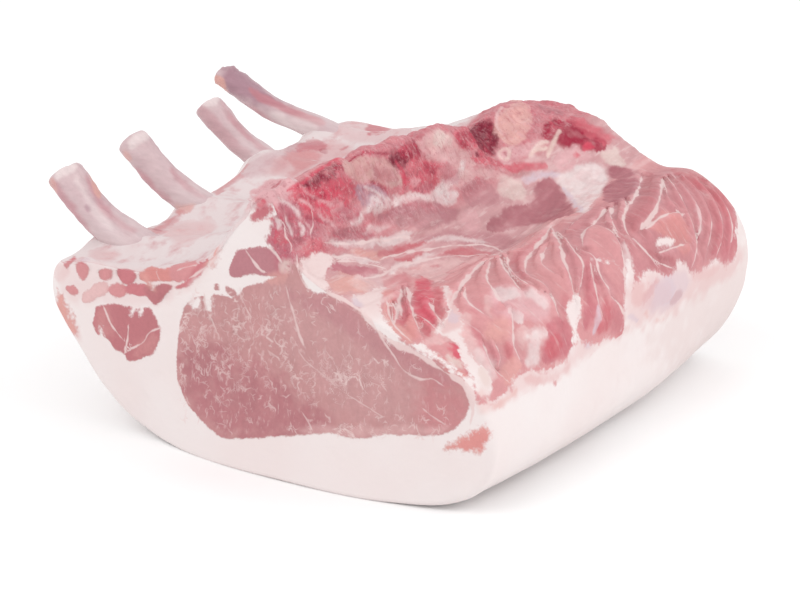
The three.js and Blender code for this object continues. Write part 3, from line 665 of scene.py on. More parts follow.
# Softer changes of colour in the lean: colour, softness in millimetres, strength and outline.
TINTS = [
    ("eye_deep", 9.0, 1.0, [
        (178, 340), (215, 345), (268, 372), (312, 404), (334, 434), (226, 444), (183, 395),
    ]),
    ("eye_tip", 6.0, 0.9, [(388, 345), (430, 366), (474, 392), (468, 432), (430, 438), (404, 400)]),
    ("eye_tip", 4.0, 0.5, [(296, 292), (330, 296), (360, 312), (372, 336), (350, 330), (320, 306)]),
    ("eye_light", 8.0, 0.9, [
        (262, 283), (300, 284), (352, 306), (392, 346), (430, 376), (410, 424), (350, 420), (312, 380),
        (276, 330),
    ]),
    ("mauve", 4.0, 0.55, [
        (284, 288), (330, 295), (352, 306), (372, 327), (400, 344), (440, 365), (464, 386), (444, 386),
        (410, 370), (372, 356), (344, 330), (312, 310), (288, 300),
    ]),
    ("pale_pink", 1.6, 0.45, [
        (296, 434), (306, 426), (322, 424), (345, 430), (362, 422), (384, 428), (404, 422), (430, 428),
        (452, 424), (448, 434), (384, 436), (340, 439),
    ]),
    ("pale_pink", 1.4, 0.8, [
        (436, 322), (448, 312), (462, 318), (466, 336), (468, 352), (461, 344), (454, 338), (445, 339),
        (436, 344), (422, 345), (428, 336), (438, 332),
    ]),
    ("cream", 1.2, 0.85, [
        (446, 352), (455, 358), (464, 361), (466, 370), (458, 371), (450, 366), (445, 358),
    ]),
    ("orange", 1.4, 0.6, [(454, 368), (466, 371), (468, 386), (460, 380)]),
    # painted shade: a darker facet of the roll
    ("painted_roll_shade", 2.4, 0.6, [(634, 216), (662, 214), (668, 250), (640, 254)]),
    ("mauve_dark", 1.6, 0.5, [(616, 168), (642, 168), (644, 192), (618, 194)]),
    ("cap_light", 2.0, 0.9, [(96, 310), (110, 304), (112, 320), (118, 336), (108, 338), (97, 334)]),
    ("cap_light", 2.0, 0.9, [(134, 346), (146, 334), (160, 332), (158, 348), (146, 358), (134, 360)]),
    ("roll_far", 10.0, 0.9, [
        (545, 225), (628, 195), (660, 160), (710, 178), (745, 225), (738, 270), (560, 300),
    ]),
    ("strip_red", 1.6, 0.8, [(389, 276), (398, 271), (408, 274), (411, 284), (402, 288), (392, 284)]),
    ("roll_red", 1.8, 0.7, [(396, 290), (408, 284), (414, 296), (414, 314), (406, 322), (398, 308)]),
    ("bright_red", 1.4, 0.85, [
        (413, 282), (422, 278), (432, 281), (434, 294), (430, 304), (435, 315), (443, 325), (437, 332),
        (425, 325), (414, 314), (410, 298),
    ]),
    ("roll_red", 1.6, 0.6, [(388, 292), (400, 288), (414, 294), (414, 320), (404, 328), (392, 314)]),
    ("roll_red", 1.2, 0.9, [
        (432, 286), (441, 285), (443, 297), (441, 309), (442, 320), (436, 314), (430, 302),
    ]),
    ("peach", 2.0, 0.8, [
        (383, 294), (392, 288), (396, 304), (402, 322), (414, 334), (410, 346), (394, 334), (384, 316),
    ]),
    ("orange", 2.0, 0.7, [(404, 318), (414, 314), (424, 326), (420, 340), (408, 336)]),
    ("roll_red", 0.8, 0.9, [(422, 328), (430, 325), (434, 331), (430, 338), (423, 335)]),
    ("red", 1.6, 0.4, [(383, 292), (404, 296), (413, 312), (408, 324), (392, 320), (384, 306)]),
    ("bright_red", 1.2, 0.9, [(447, 341), (455, 341), (462, 348), (464, 358), (456, 356), (450, 350)]),
    ("roll_red", 1.0, 0.7, [(462, 358), (470, 362), (474, 374), (468, 378), (464, 368)]),
    ("orange", 2.0, 0.7, [
        (430, 350), (444, 356), (456, 366), (466, 378), (462, 384), (446, 370), (432, 358),
    ]),
    ("roll", 1.2, 1.0, [
        (449, 300), (452, 288), (459, 278), (470, 268), (482, 272), (486, 292), (488, 310), (476, 314),
        (458, 312),
    ]),
    ("strip_red", 2.0, 0.6, [(468, 296), (478, 300), (486, 310), (476, 313), (468, 306)]),
    ("pale_pink", 1.4, 0.75, [
        (493, 288), (504, 285), (517, 287), (519, 296), (512, 300), (500, 298), (494, 296),
    ]),
    ("pale_pink", 1.8, 0.95, [
        (517, 292), (530, 287), (546, 291), (554, 302), (549, 314), (536, 318), (522, 314), (516, 304),
    ]),
    ("strip", 1.6, 0.6, [(524, 298), (536, 294), (546, 302), (540, 312), (528, 310)]),
    ("roll_red", 1.0, 0.7, [(496, 304), (503, 301), (509, 304), (508, 314), (500, 318), (495, 313)]),
    ("pale_pink", 1.6, 0.8, [(484, 294), (494, 296), (494, 312), (488, 318), (484, 308)]),
    ("peach", 2.6, 0.7, [(486, 320), (500, 316), (512, 320), (513, 340), (498, 342), (486, 336)]),
    ("blotch", 2.0, 0.7, [
        (466, 322), (478, 322), (486, 338), (498, 352), (500, 364), (486, 358), (474, 342),
    ]),
    ("roll_red", 1.6, 0.6, [(500, 344), (509, 343), (512, 358), (504, 362)]),
    ("peach", 2.0, 0.6, [(500, 366), (516, 352), (524, 366), (514, 382), (502, 390)]),
    ("pale_pink", 1.8, 0.9, [(514, 330), (526, 324), (530, 346), (520, 352)]),
    ("blotch", 2.0, 0.95, [
        (545, 326), (556, 317), (568, 319), (575, 332), (575, 348), (570, 360), (560, 356), (552, 364),
        (542, 368), (541, 352), (545, 340),
    ]),
    ("roll_red", 2.0, 0.95, [(545, 334), (556, 330), (562, 340), (558, 354), (549, 362), (544, 350)]),
    ("pale_pink", 2.2, 0.7, [(552, 362), (566, 356), (571, 364), (556, 374)]),
    ("blotch", 2.2, 0.9, [
        (582, 256), (592, 260), (599, 280), (602, 296), (596, 312), (590, 330), (583, 330), (586, 308),
        (584, 286),
    ]),
    ("lilac", 0.8, 0.8, [(597, 304), (602, 302), (601, 318), (597, 334), (594, 334), (596, 318)]),
    ("roll_red", 2.0, 0.8, [(604, 298), (612, 302), (612, 320), (606, 336), (598, 330), (600, 314)]),
    ("blotch", 2.4, 0.7, [(612, 300), (624, 306), (625, 330), (614, 338), (610, 320)]),
    ("roll", 2.0, 0.9, [
        (584, 235), (590, 226), (601, 226), (612, 232), (620, 245), (623, 262), (624, 280), (618, 290),
        (608, 276), (600, 258), (588, 248),
    ]),
    ("roll", 1.6, 0.9, [
        (528, 256), (537, 247), (548, 238), (556, 248), (562, 262), (568, 278), (566, 296), (552, 284),
        (534, 272),
    ]),
    ("strip_red", 2.4, 0.8, [
        (504, 262), (520, 250), (540, 234), (550, 230), (540, 244), (526, 256), (524, 268), (534, 278),
        (520, 280), (510, 272),
    ]),
    ("strip_red", 2.4, 0.6, [(560, 300), (568, 290), (572, 300), (570, 314), (564, 312)]),
    # painted shade: the darker facet where the roll's folds turn
    ("painted_roll_shade", 2.2, 0.95, [
        (640, 180), (650, 171), (663, 173), (663, 192), (657, 208), (648, 221), (636, 232), (626, 230),
        (625, 214), (634, 198),
    ]),
    ("orange", 2.4, 0.7, [
        (644, 228), (656, 216), (668, 206), (680, 214), (688, 232), (692, 250), (680, 256), (674, 240),
        (658, 234),
    ]),
    # painted shade: a darker facet of the roll
    ("painted_roll_shade", 2.4, 0.8, [
        (632, 236), (646, 244), (660, 254), (676, 252), (676, 270), (662, 272), (646, 262),
    ]),
    ("roll_red", 4.0, 0.35, [(704, 190), (724, 206), (738, 232), (734, 256), (718, 260), (708, 230)]),
    # painted shade: a darker facet at the roll's right end
    ("painted_roll_shade", 2.5, 0.5, [(706, 226), (716, 214), (726, 236), (720, 256), (708, 252)]),
    ("crimson", 0.8, 0.6, [(690, 229), (697, 232), (699, 242), (695, 238)]),
    ("pale_pink", 2.0, 0.85, [
        (466, 308), (474, 316), (472, 330), (478, 350), (490, 372), (492, 396), (480, 398), (474, 382),
        (464, 360), (456, 340), (458, 320),
    ]),
    ("white", 2.2, 0.85, [
        (526, 330), (540, 322), (548, 332), (540, 344), (540, 360), (534, 372), (524, 366), (526, 350),
    ]),
    ("fibre", 3.0, 0.8, [
        (490, 286), (504, 284), (524, 288), (546, 290), (554, 300), (552, 316), (538, 324), (520, 322),
        (506, 318), (492, 314),
    ]),
    ("white", 1.6, 0.7, [(494, 290), (502, 286), (516, 288), (524, 296), (514, 298), (508, 302), (498, 304)]),
    ("white", 1.6, 0.6, [(524, 290), (540, 290), (552, 300), (548, 310), (538, 302), (528, 300)]),
    ("white", 1.2, 0.7, [(514, 306), (524, 314), (522, 326), (514, 322), (510, 314)]),
    ("white", 1.6, 0.75, [(622, 236), (629, 246), (632, 260), (628, 276), (624, 262)]),
    ("strip", 1.6, 0.7, [(500, 303), (508, 301), (511, 309), (504, 314), (499, 310)]),
    ("roll_red", 3.0, 0.7, [
        (668, 168), (690, 172), (712, 184), (728, 200), (730, 222), (718, 206), (698, 188), (680, 178),
    ]),
    ("blotch", 2.4, 0.6, [(714, 218), (732, 222), (733, 252), (724, 262), (712, 254), (716, 236)]),
    ("white", 1.4, 0.6, [(690, 196), (697, 206), (703, 222), (702, 234), (696, 222)]),
    ("white", 2.0, 0.5, [(470, 352), (480, 346), (494, 360), (500, 380), (488, 384)]),
    ("orange", 2.0, 0.9, [
        (442, 449), (457, 441), (468, 436), (479, 426), (491, 430), (490, 443), (482, 454), (468, 452),
        (457, 451),
    ]),
    ("red", 1.2, 0.8, [(301, 246), (308, 238), (318, 236), (325, 243), (322, 251), (314, 256), (305, 255)]),
    ("red", 1.0, 0.6, [(274, 232), (282, 228), (290, 234), (288, 244), (278, 244)]),
    ("cream", 1.2, 0.8, [(279, 262), (286, 257), (293, 256), (294, 264), (288, 271), (281, 274)]),
    ("peach", 2.0, 0.6, [(264, 272), (278, 268), (290, 272), (286, 284), (270, 286)]),
]
# The same on fat: colour, softness, strength and outline. The first one is painted shade, darkening the fat
# on the right side.
FAT_TINTS = [
    # painted shade: the fat on the right side made darker
    ("painted_fat_shade", 12.0, 1.0, [
        (650, 330), (690, 290), (735, 240), (752, 236), (752, 290), (716, 340), (668, 372), (640, 352),
    ]),
    ("pale_pink", 4.0, 0.35, [
        (58, 256), (110, 264), (176, 270), (212, 250), (206, 270), (176, 296), (152, 306), (96, 304),
        (62, 300),
    ]),
    ("pale_pink", 6.0, 0.55, [
        (622, 280), (650, 262), (690, 262), (728, 254), (742, 250), (738, 272), (700, 296), (670, 318),
        (640, 330), (622, 322),
    ]),
    ("pale_pink", 4.0, 0.5, [
        (490, 398), (520, 374), (560, 362), (580, 340), (626, 322), (630, 334), (590, 352), (570, 376),
        (526, 388), (496, 414),
    ]),
    ("lilac", 4.0, 0.45, [
        (640, 300), (652, 278), (672, 268), (692, 270), (690, 288), (676, 306), (656, 318),
    ]),
    ("mauve", 1.2, 0.35, [(668, 296), (680, 288), (684, 292), (674, 306), (668, 304)]),
    ("pale_pink", 3.0, 0.5, [(636, 300), (648, 280), (668, 280), (670, 298), (656, 308), (640, 308)]),
    ("strip", 1.4, 0.35, [(640, 298), (648, 286), (654, 276), (658, 280), (650, 294), (644, 306)]),
    ("lilac", 3.0, 0.5, [(650, 286), (662, 276), (676, 280), (672, 296), (664, 306), (652, 308)]),
    ("pale_pink", 2.0, 0.8, [(631, 284), (640, 278), (646, 282), (644, 296), (638, 308), (632, 306)]),
    ("pale_pink", 2.0, 0.6, [(690, 276), (700, 270), (714, 262), (720, 268), (712, 278), (698, 284)]),
    ("peach", 1.4, 0.5, [(643, 312), (648, 310), (650, 319), (645, 320)]),
    ("peach", 1.4, 0.4, [(655, 318), (662, 315), (664, 321), (657, 325)]),
    ("lilac", 1.2, 0.6, [(628, 316), (636, 316), (636, 323), (630, 323)]),
    ("lilac", 1.2, 0.6, [(586, 338), (594, 334), (594, 348), (588, 348)]),
    ("pale_pink", 2.0, 0.6, [(544, 376), (560, 370), (572, 362), (570, 372), (556, 384), (546, 384)]),
    ("pale_pink", 2.4, 0.8, [(524, 376), (546, 376), (548, 384), (528, 386)]),
    ("peach", 2.0, 0.5, [(494, 404), (506, 396), (516, 386), (514, 396), (504, 408), (494, 412)]),
    ("strip", 0.6, 0.7, [(552, 380), (556, 380), (557, 386), (553, 385)]),
    ("peach", 3.0, 0.35, [(478, 388), (490, 392), (490, 412), (478, 410)]),
    ("lilac", 1.6, 0.7, [(349, 300), (358, 296), (364, 302), (360, 309), (352, 306)]),
    ("pale_pink", 2.0, 0.5, [(54, 262), (66, 262), (74, 270), (66, 284), (54, 284)]),
    ("pale_pink", 2.0, 0.5, [(60, 318), (74, 322), (82, 336), (76, 340), (64, 330)]),
    ("lilac", 1.2, 0.6, [(78, 257), (90, 259), (90, 262), (80, 262)]),
    ("pale_pink", 1.6, 0.8, [
        (446, 286), (450, 290), (456, 306), (466, 318), (462, 330), (440, 334), (448, 318),
    ]),
    ("lilac", 1.6, 0.6, [(446, 310), (462, 314), (462, 322), (448, 322)]),
    ("cream", 2.4, 0.7, [(474, 366), (490, 374), (490, 388), (478, 384)]),
]
# The same on the valley, the sawn ridge and the film over the ribs.
TOP_TINTS = [
    # the ridge's near end
    ("fibre", 2.0, 0.8, [
        (246, 206), (256, 190), (266, 182), (284, 178), (298, 182), (288, 194), (276, 204), (262, 206),
    ]),
    ("white", 2.0, 0.8, [
        (178, 294), (208, 264), (226, 240), (244, 214), (254, 194), (262, 198), (252, 216), (238, 234),
        (210, 268), (196, 290), (172, 298),
    ]),
    ("red", 1.2, 0.8, [(256, 200), (262, 198), (268, 202), (262, 208), (257, 206)]),
    ("mauve_red", 1.6, 0.8, [
        (276, 206), (288, 196), (304, 194), (316, 208), (318, 226), (306, 240), (290, 236), (278, 226),
    ]),
    ("blotch", 1.2, 0.8, [(274, 238), (280, 232), (290, 234), (292, 242), (284, 247), (276, 244)]),
    # first vertebra
    ("red", 2.0, 0.95, [
        (288, 192), (300, 182), (330, 180), (352, 182), (364, 192), (352, 202), (342, 216), (326, 224),
        (312, 220), (300, 210),
    ]),
    ("bright_red", 1.6, 0.85, [
        (296, 190), (316, 186), (336, 190), (346, 200), (336, 212), (322, 210), (308, 200),
    ]),
    ("bright_red", 1.4, 0.8, [(318, 166), (332, 160), (342, 164), (342, 172), (330, 176), (320, 174)]),
    ("blood", 2.0, 1.0, [
        (301, 184), (310, 174), (323, 167), (337, 164), (343, 170), (333, 179), (318, 184), (306, 189),
    ]),
    ("crimson", 2.0, 0.3, [
        (314, 176), (336, 168), (356, 178), (366, 190), (352, 198), (336, 192), (322, 190),
    ]),
    ("fibre", 1.4, 0.7, [(326, 202), (336, 198), (344, 204), (340, 216), (330, 214)]),
    ("mauve_red", 1.8, 0.7, [(334, 210), (352, 202), (366, 208), (364, 218), (350, 224), (336, 222)]),
    ("bone_lilac", 1.4, 0.9, [
        (354, 185), (366, 180), (380, 184), (390, 194), (386, 204), (372, 208), (360, 204),
    ]),
    # second vertebra
    ("bone_grey", 1.2, 0.95, [
        (342, 167), (348, 158), (360, 155), (376, 156), (392, 161), (400, 171), (404, 184), (397, 191),
        (386, 186), (370, 182), (356, 180), (345, 177),
    ]),
    ("bone_rose", 1.8, 0.75, [(370, 166), (384, 164), (396, 172), (398, 184), (386, 183), (372, 178)]),
    ("blood", 1.8, 1.0, [(385, 156), (394, 151), (405, 152), (412, 161), (406, 169), (393, 167)]),
    ("crimson", 1.6, 1.0, [
        (397, 151), (408, 141), (421, 136), (427, 150), (422, 161), (410, 162), (402, 158),
    ]),
    ("red", 2.0, 0.95, [
        (406, 162), (420, 157), (436, 158), (447, 168), (458, 176), (456, 184), (444, 186), (432, 192),
        (418, 194), (408, 188),
    ]),
    ("crimson", 1.4, 0.6, [(424, 160), (436, 162), (442, 172), (436, 178), (426, 172)]),
    ("bright_red", 1.2, 0.8, [(400, 166), (406, 168), (408, 182), (404, 192), (400, 184)]),
    ("fibre", 1.4, 0.8, [(410, 178), (418, 176), (422, 182), (416, 187), (410, 185)]),
    ("mauve_red", 1.6, 0.7, [(410, 190), (424, 182), (438, 182), (434, 192), (420, 196)]),
    # third vertebra
    ("cartilage", 1.6, 0.95, [(426, 142), (433, 133), (446, 130), (453, 138), (448, 149), (436, 151)]),
    ("red", 1.8, 0.85, [(450, 132), (462, 127), (474, 125), (480, 140), (474, 150), (462, 150), (452, 146)]),
    ("blood", 2.0, 1.0, [(466, 125), (480, 119), (494, 121), (500, 136), (497, 152), (484, 153), (471, 144)]),
    ("crimson", 1.4, 0.7, [(454, 134), (468, 128), (474, 142), (466, 150), (456, 146)]),
    ("crimson", 1.4, 0.7, [(484, 146), (492, 148), (492, 160), (484, 158), (474, 156), (474, 150)]),
    ("pale_pink", 2.4, 0.75, [
        (420, 138), (434, 129), (452, 131), (458, 146), (472, 156), (476, 168), (462, 172), (446, 166),
        (436, 158), (426, 150),
    ]),
    ("cream", 1.6, 0.8, [(433, 134), (444, 131), (452, 137), (448, 147), (437, 149)]),
    ("pale_pink", 2.4, 0.7, [(440, 168), (458, 164), (476, 170), (474, 184), (456, 190), (442, 184)]),
    ("white", 1.2, 0.8, [
        (436, 188), (450, 180), (458, 168), (462, 158), (468, 160), (464, 174), (456, 186), (446, 194),
    ]),
    ("red", 1.2, 0.9, [
        (468, 155), (484, 156), (500, 159), (525, 160), (548, 162), (553, 169), (530, 170), (500, 167),
        (478, 165),
    ]),
    ("mauve_red", 1.6, 0.6, [(440, 168), (456, 166), (464, 176), (456, 186), (444, 182)]),
    # fourth vertebra
    ("cartilage", 1.8, 0.95, [
        (494, 122), (500, 111), (509, 103), (520, 102), (529, 107), (533, 116), (531, 130), (525, 141),
        (512, 145), (502, 141), (495, 133),
    ]),
    ("fibre", 1.6, 0.8, [(496, 146), (512, 146), (528, 144), (536, 150), (520, 158), (500, 157)]),
    ("ridge", 2.0, 0.8, [
        (536, 104), (552, 104), (570, 110), (592, 120), (612, 134), (622, 142), (606, 140), (586, 130),
        (566, 122), (546, 122),
    ]),
    ("mauve_dark", 1.8, 0.7, [(538, 104), (552, 104), (566, 112), (556, 116), (542, 112)]),
    ("crimson", 1.4, 1.0, [
        (541, 126), (552, 118), (568, 119), (584, 127), (600, 135), (610, 146), (594, 152), (575, 148),
        (560, 146), (546, 140),
    ]),
    ("red", 2.4, 0.8, [(562, 114), (580, 117), (600, 128), (616, 142), (604, 146), (590, 135), (574, 126)]),
    ("fibre", 2.0, 0.8, [(558, 154), (572, 144), (584, 148), (594, 156), (586, 166), (568, 172), (556, 170)]),
    ("bright_red", 1.0, 0.85, [(583, 144), (591, 141), (594, 149), (586, 153)]),
    ("red", 1.0, 0.8, [(574, 154), (580, 150), (584, 156), (578, 160)]),
    ("cream", 2.0, 0.85, [(598, 152), (612, 146), (622, 154), (630, 164), (618, 169), (604, 166)]),
    # the valley
    ("white", 1.8, 0.85, [
        (378, 192), (392, 198), (408, 192), (428, 194), (442, 186), (454, 190), (450, 201), (428, 200),
        (405, 201), (392, 206), (380, 212), (366, 218), (352, 227), (346, 222), (362, 214), (372, 206),
    ]),
    ("mauve_dark", 1.6, 0.8, [
        (328, 232), (342, 226), (362, 228), (376, 232), (372, 241), (356, 245), (336, 242),
    ]),
    ("mauve", 1.2, 1.0, [
        (380, 213), (392, 207), (405, 202), (425, 200), (445, 200), (458, 204), (463, 212), (458, 222),
        (440, 228), (420, 232), (412, 226), (404, 229), (392, 223),
    ]),
    ("fibre", 1.8, 0.6, [(462, 204), (476, 208), (486, 220), (478, 230), (464, 224)]),
    ("mauve", 2.0, 0.7, [(460, 184), (480, 178), (498, 184), (500, 198), (492, 208), (476, 206), (464, 198)]),
    ("white", 1.4, 0.8, [(448, 192), (456, 190), (460, 196), (455, 204), (449, 200)]),
    ("cream", 2.0, 0.8, [(498, 182), (508, 174), (521, 177), (530, 186), (531, 198), (518, 202), (504, 198)]),
    ("pale_pink", 1.8, 0.7, [
        (456, 170), (476, 168), (500, 172), (512, 176), (500, 182), (478, 176), (462, 178),
    ]),
    ("mauve_dark", 1.2, 0.9, [
        (536, 185), (544, 179), (556, 180), (561, 189), (567, 199), (578, 213), (560, 218), (530, 224),
        (505, 228), (487, 228), (494, 214), (508, 206), (524, 204), (534, 200),
    ]),
    ("mauve", 2.4, 0.7, [
        (412, 238), (440, 230), (480, 228), (510, 232), (520, 242), (500, 248), (450, 244), (420, 244),
    ]),
    ("lilac", 1.6, 0.9, [(520, 174), (540, 170), (558, 170), (562, 178), (546, 178), (530, 182)]),
    ("white", 1.8, 0.9, [
        (556, 178), (566, 172), (580, 165), (597, 161), (605, 168), (607, 180), (602, 193), (592, 206),
        (582, 214), (575, 207), (567, 196), (560, 186),
    ]),
    ("lilac", 1.0, 0.8, [(561, 186), (568, 190), (580, 204), (584, 213), (576, 209), (566, 197)]),
    ("mauve_dark", 1.2, 1.0, [(602, 173), (610, 165), (626, 166), (640, 175), (624, 181), (608, 179)]),
    ("mauve_dark", 1.4, 1.0, [
        (604, 185), (620, 181), (640, 178), (640, 190), (628, 199), (614, 204), (602, 197),
    ]),
    ("pale_pink", 2.0, 0.6, [
        (520, 230), (545, 222), (575, 216), (594, 206), (584, 218), (556, 222), (530, 236),
    ]),
    ("pale_pink", 3.0, 0.22, [(386, 212), (444, 212), (446, 238), (386, 238)]),
    # the band beside the valley
    ("white", 1.6, 0.35, [(352, 276), (372, 273), (388, 276), (384, 288), (362, 290), (350, 284)]),
    ("peach", 1.4, 0.9, [(344, 250), (360, 247), (378, 247), (395, 250), (384, 261), (366, 256), (352, 254)]),
    ("strip_red", 1.2, 0.95, [
        (376, 248), (395, 245), (415, 244), (428, 246), (415, 250), (398, 254), (385, 258), (376, 254),
    ]),
    ("roll_red", 1.0, 0.8, [
        (390, 260), (405, 255), (425, 252), (434, 253), (420, 258), (408, 264), (396, 264),
    ]),
    ("roll_red", 1.0, 0.8, [
        (433, 256), (450, 250), (470, 246), (484, 249), (494, 253), (478, 256), (460, 256), (445, 258),
    ]),
    ("mauve_red", 1.0, 0.8, [
        (323, 264), (340, 263), (358, 266), (376, 268), (384, 272), (372, 277), (362, 276), (350, 272),
        (336, 270),
    ]),
    ("pale_pink", 1.4, 0.9, [
        (388, 272), (400, 266), (420, 264), (444, 260), (468, 258), (462, 266), (450, 274), (440, 281),
        (418, 278), (404, 272),
    ]),
    ("strip", 0.8, 0.7, [(408, 267), (418, 265), (420, 268), (410, 270)]),
    ("strip_red", 0.6, 0.7, [(427, 268), (436, 265), (442, 267), (434, 270)]),
    ("white", 1.4, 0.8, [(374, 240), (390, 236), (412, 236), (408, 243), (390, 244), (376, 244)]),
    ("white", 1.2, 0.75, [
        (326, 238), (346, 241), (366, 239), (384, 235), (404, 231), (424, 233), (404, 238), (380, 243),
        (356, 247), (334, 246),
    ]),
    ("white", 1.0, 0.7, [(424, 240), (452, 235), (476, 236), (496, 243), (478, 241), (452, 241), (430, 245)]),
    ("white", 1.0, 0.7, [(330, 254), (352, 252), (370, 256), (384, 263), (366, 262), (346, 258), (332, 260)]),
    ("white", 1.2, 0.6, [(360, 232), (372, 226), (384, 222), (396, 224), (384, 228), (372, 234)]),
    ("roll_red", 0.8, 0.8, [
        (384, 250), (402, 246), (424, 242), (440, 242), (424, 246), (404, 250), (390, 253),
    ]),
    ("white", 1.0, 0.8, [(386, 270), (402, 262), (426, 256), (452, 252), (430, 260), (404, 267), (392, 273)]),
    # the film over the ribs
    ("crimson", 1.4, 0.5, [(284, 146), (300, 140), (318, 138), (324, 144), (306, 150), (290, 152)]),
    ("mauve_dark", 1.6, 0.7, [
        (280, 156), (294, 148), (314, 142), (328, 142), (320, 152), (300, 158), (286, 164),
    ]),
    ("ridge", 2.0, 0.7, [(288, 162), (304, 152), (324, 152), (320, 164), (304, 170), (294, 170)]),
    ("ridge", 1.4, 0.7, [(338, 150), (348, 144), (350, 147), (342, 152)]),
    ("ridge", 1.8, 0.9, [(362, 126), (372, 122), (386, 122), (392, 130), (376, 134), (366, 132)]),
    ("ridge", 2.0, 0.7, [(212, 192), (224, 180), (236, 172), (246, 172), (240, 182), (226, 190), (214, 196)]),
    ("ridge", 2.0, 0.7, [(150, 230), (162, 222), (176, 216), (186, 218), (172, 228), (158, 236)]),
    ("pale_pink", 3.0, 0.6, [(160, 236), (176, 222), (206, 218), (220, 222), (206, 236), (180, 250)]),
    ("pale_pink", 3.0, 0.6, [(84, 252), (110, 246), (124, 254), (110, 262), (92, 260)]),
    # painted shade: the film darker where bones 3 and 4 run into it
    ("bone_shade", 4.0, 0.6, [
        (236, 172), (254, 158), (280, 148), (300, 140), (300, 160), (280, 176), (250, 182),
    ]),
    ("strip", 4.0, 0.65, [
        (262, 174), (284, 154), (310, 142), (344, 140), (360, 150), (330, 168), (290, 182),
    ]),
    ("strip", 4.0, 0.45, [(330, 122), (370, 118), (420, 126), (400, 142), (360, 146), (336, 138)]),
    ("blotch", 1.4, 0.8, [
        (296, 144), (304, 138), (318, 136), (327, 142), (324, 150), (312, 147), (300, 149),
    ]),
    ("crimson", 1.0, 0.5, [(318, 147), (326, 146), (330, 150), (324, 154)]),
    ("blotch", 0.8, 0.6, [(338, 150), (344, 145), (350, 145), (345, 150)]),
    ("strip", 2.4, 0.7, [(284, 156), (300, 148), (318, 150), (322, 160), (306, 168), (290, 166)]),
    ("blotch", 1.2, 0.75, [(363, 127), (372, 123), (388, 123), (390, 129), (378, 133), (367, 132)]),
    ("scrap", 1.0, 0.9, [(176, 210), (186, 205), (198, 203), (194, 211), (184, 214), (178, 218)]),
    ("blotch", 1.0, 0.5, [(174, 214), (182, 210), (188, 212), (180, 218)]),
    ("strip", 1.0, 0.7, [(212, 196), (224, 184), (238, 172), (250, 164), (250, 170), (236, 180), (222, 192)]),
    ("strip", 1.0, 0.7, [(144, 228), (156, 229), (170, 220), (178, 217), (172, 224), (158, 234), (146, 232)]),
]
# Thin marks: colour, half the width in millimetres, strength and path.
STREAKS = [
    ("red", 0.5, 0.8, [(236, 231), (250, 227), (262, 221), (272, 217)]),
    ("strip", 0.5, 0.7, [(239, 205), (226, 219), (208, 238), (192, 250), (176, 256)]),
    ("strip", 0.5, 0.6, [(174, 255), (150, 257), (120, 258), (96, 258)]),
    ("bright_red", 0.6, 0.8, [(290, 190), (306, 180), (318, 170), (333, 161), (346, 156)]),
    ("crimson", 0.5, 0.8, [(344, 156), (360, 153), (376, 153), (388, 153)]),
    ("crimson", 0.5, 0.6, [(372, 181), (380, 184), (388, 191), (394, 200)]),
    ("mauve_dark", 0.6, 0.6, [(364, 188), (374, 191), (382, 197), (386, 205)]),
    ("mauve_dark", 0.5, 0.6, [(352, 187), (360, 191), (366, 200)]),
    ("white", 0.5, 0.6, [(368, 186), (376, 190), (382, 196)]),
    ("bright_red", 0.6, 0.5, [(396, 160), (404, 170), (407, 182), (403, 192)]),
    ("fibre", 0.5, 0.8, [(300, 200), (312, 206), (322, 218), (334, 226)]),
    ("fibre", 0.4, 0.8, [(296, 212), (304, 220), (312, 230)]),
    ("fibre", 0.4, 0.8, [(304, 190), (316, 196), (328, 204)]),
    ("mauve_dark", 0.4, 0.7, [(282, 206), (290, 214), (296, 226)]),
    ("mauve_dark", 0.4, 0.7, [(294, 202), (302, 214), (306, 228)]),
    ("mauve_dark", 0.4, 0.6, [(276, 214), (284, 224), (290, 236)]),
    ("white", 0.7, 0.7, [(276, 218), (280, 224), (278, 228)]),
    ("white", 0.7, 0.7, [(288, 216), (292, 226), (296, 234)]),
    ("white", 0.5, 0.7, [(300, 222), (304, 228), (302, 234)]),
    ("white", 0.4, 0.7, [(280, 196), (292, 204), (300, 216)]),
    ("gristle", 0.6, 0.85, [(548, 156), (552, 147), (556, 137), (560, 129)]),
    ("gristle", 0.9, 0.8, [(530, 156), (536, 148), (543, 141), (549, 141)]),
    ("gristle", 0.7, 0.9, [(532, 152), (540, 149), (548, 147)]),
    ("gristle", 0.45, 0.8, [(500, 150), (502, 156), (508, 158), (511, 151), (506, 147), (500, 150)]),
    ("crimson", 0.6, 0.9, [(505, 151), (507, 153)]),
    ("blood", 0.6, 0.9, [(476, 153), (478, 157)]),
    ("pale_pink", 0.5, 0.8, [(502, 134), (496, 124), (497, 114), (503, 107)]),
    ("mauve_dark", 0.5, 0.6, [(106, 240), (112, 240), (118, 241)]),
    ("crimson", 0.35, 0.6, [(151, 229), (157, 231), (162, 232)]),
    ("mauve_dark", 0.5, 0.5, [(380, 140), (392, 144), (400, 146)]),
    ("membrane", 0.6, 0.7, [(262, 180), (280, 178), (296, 180)]),
    ("blood", 0.3, 1.0, [(545, 291.5), (545.4, 292.2)]),
    ("roll_red", 0.35, 0.6, [(77, 261), (95, 264), (118, 266)]),
    ("red", 0.5, 0.7, [(62, 263), (69, 259), (76, 257)]),
    ("crimson", 0.25, 0.6, [(88, 260), (108, 262), (118, 265)]),
    ("strip", 0.9, 0.7, [(306, 260), (320, 264), (326, 272)]),
    ("bright_red", 0.5, 0.6, [(298, 204), (310, 210), (322, 212), (334, 208)]),
    ("crimson", 0.5, 0.6, [(300, 196), (312, 198), (326, 196)]),
    ("crimson", 0.4, 0.6, [(306, 216), (318, 220), (330, 224)]),
    ("eye_tip", 0.9, 0.6, [(440, 360), (452, 371), (464, 382), (472, 392)]),
]
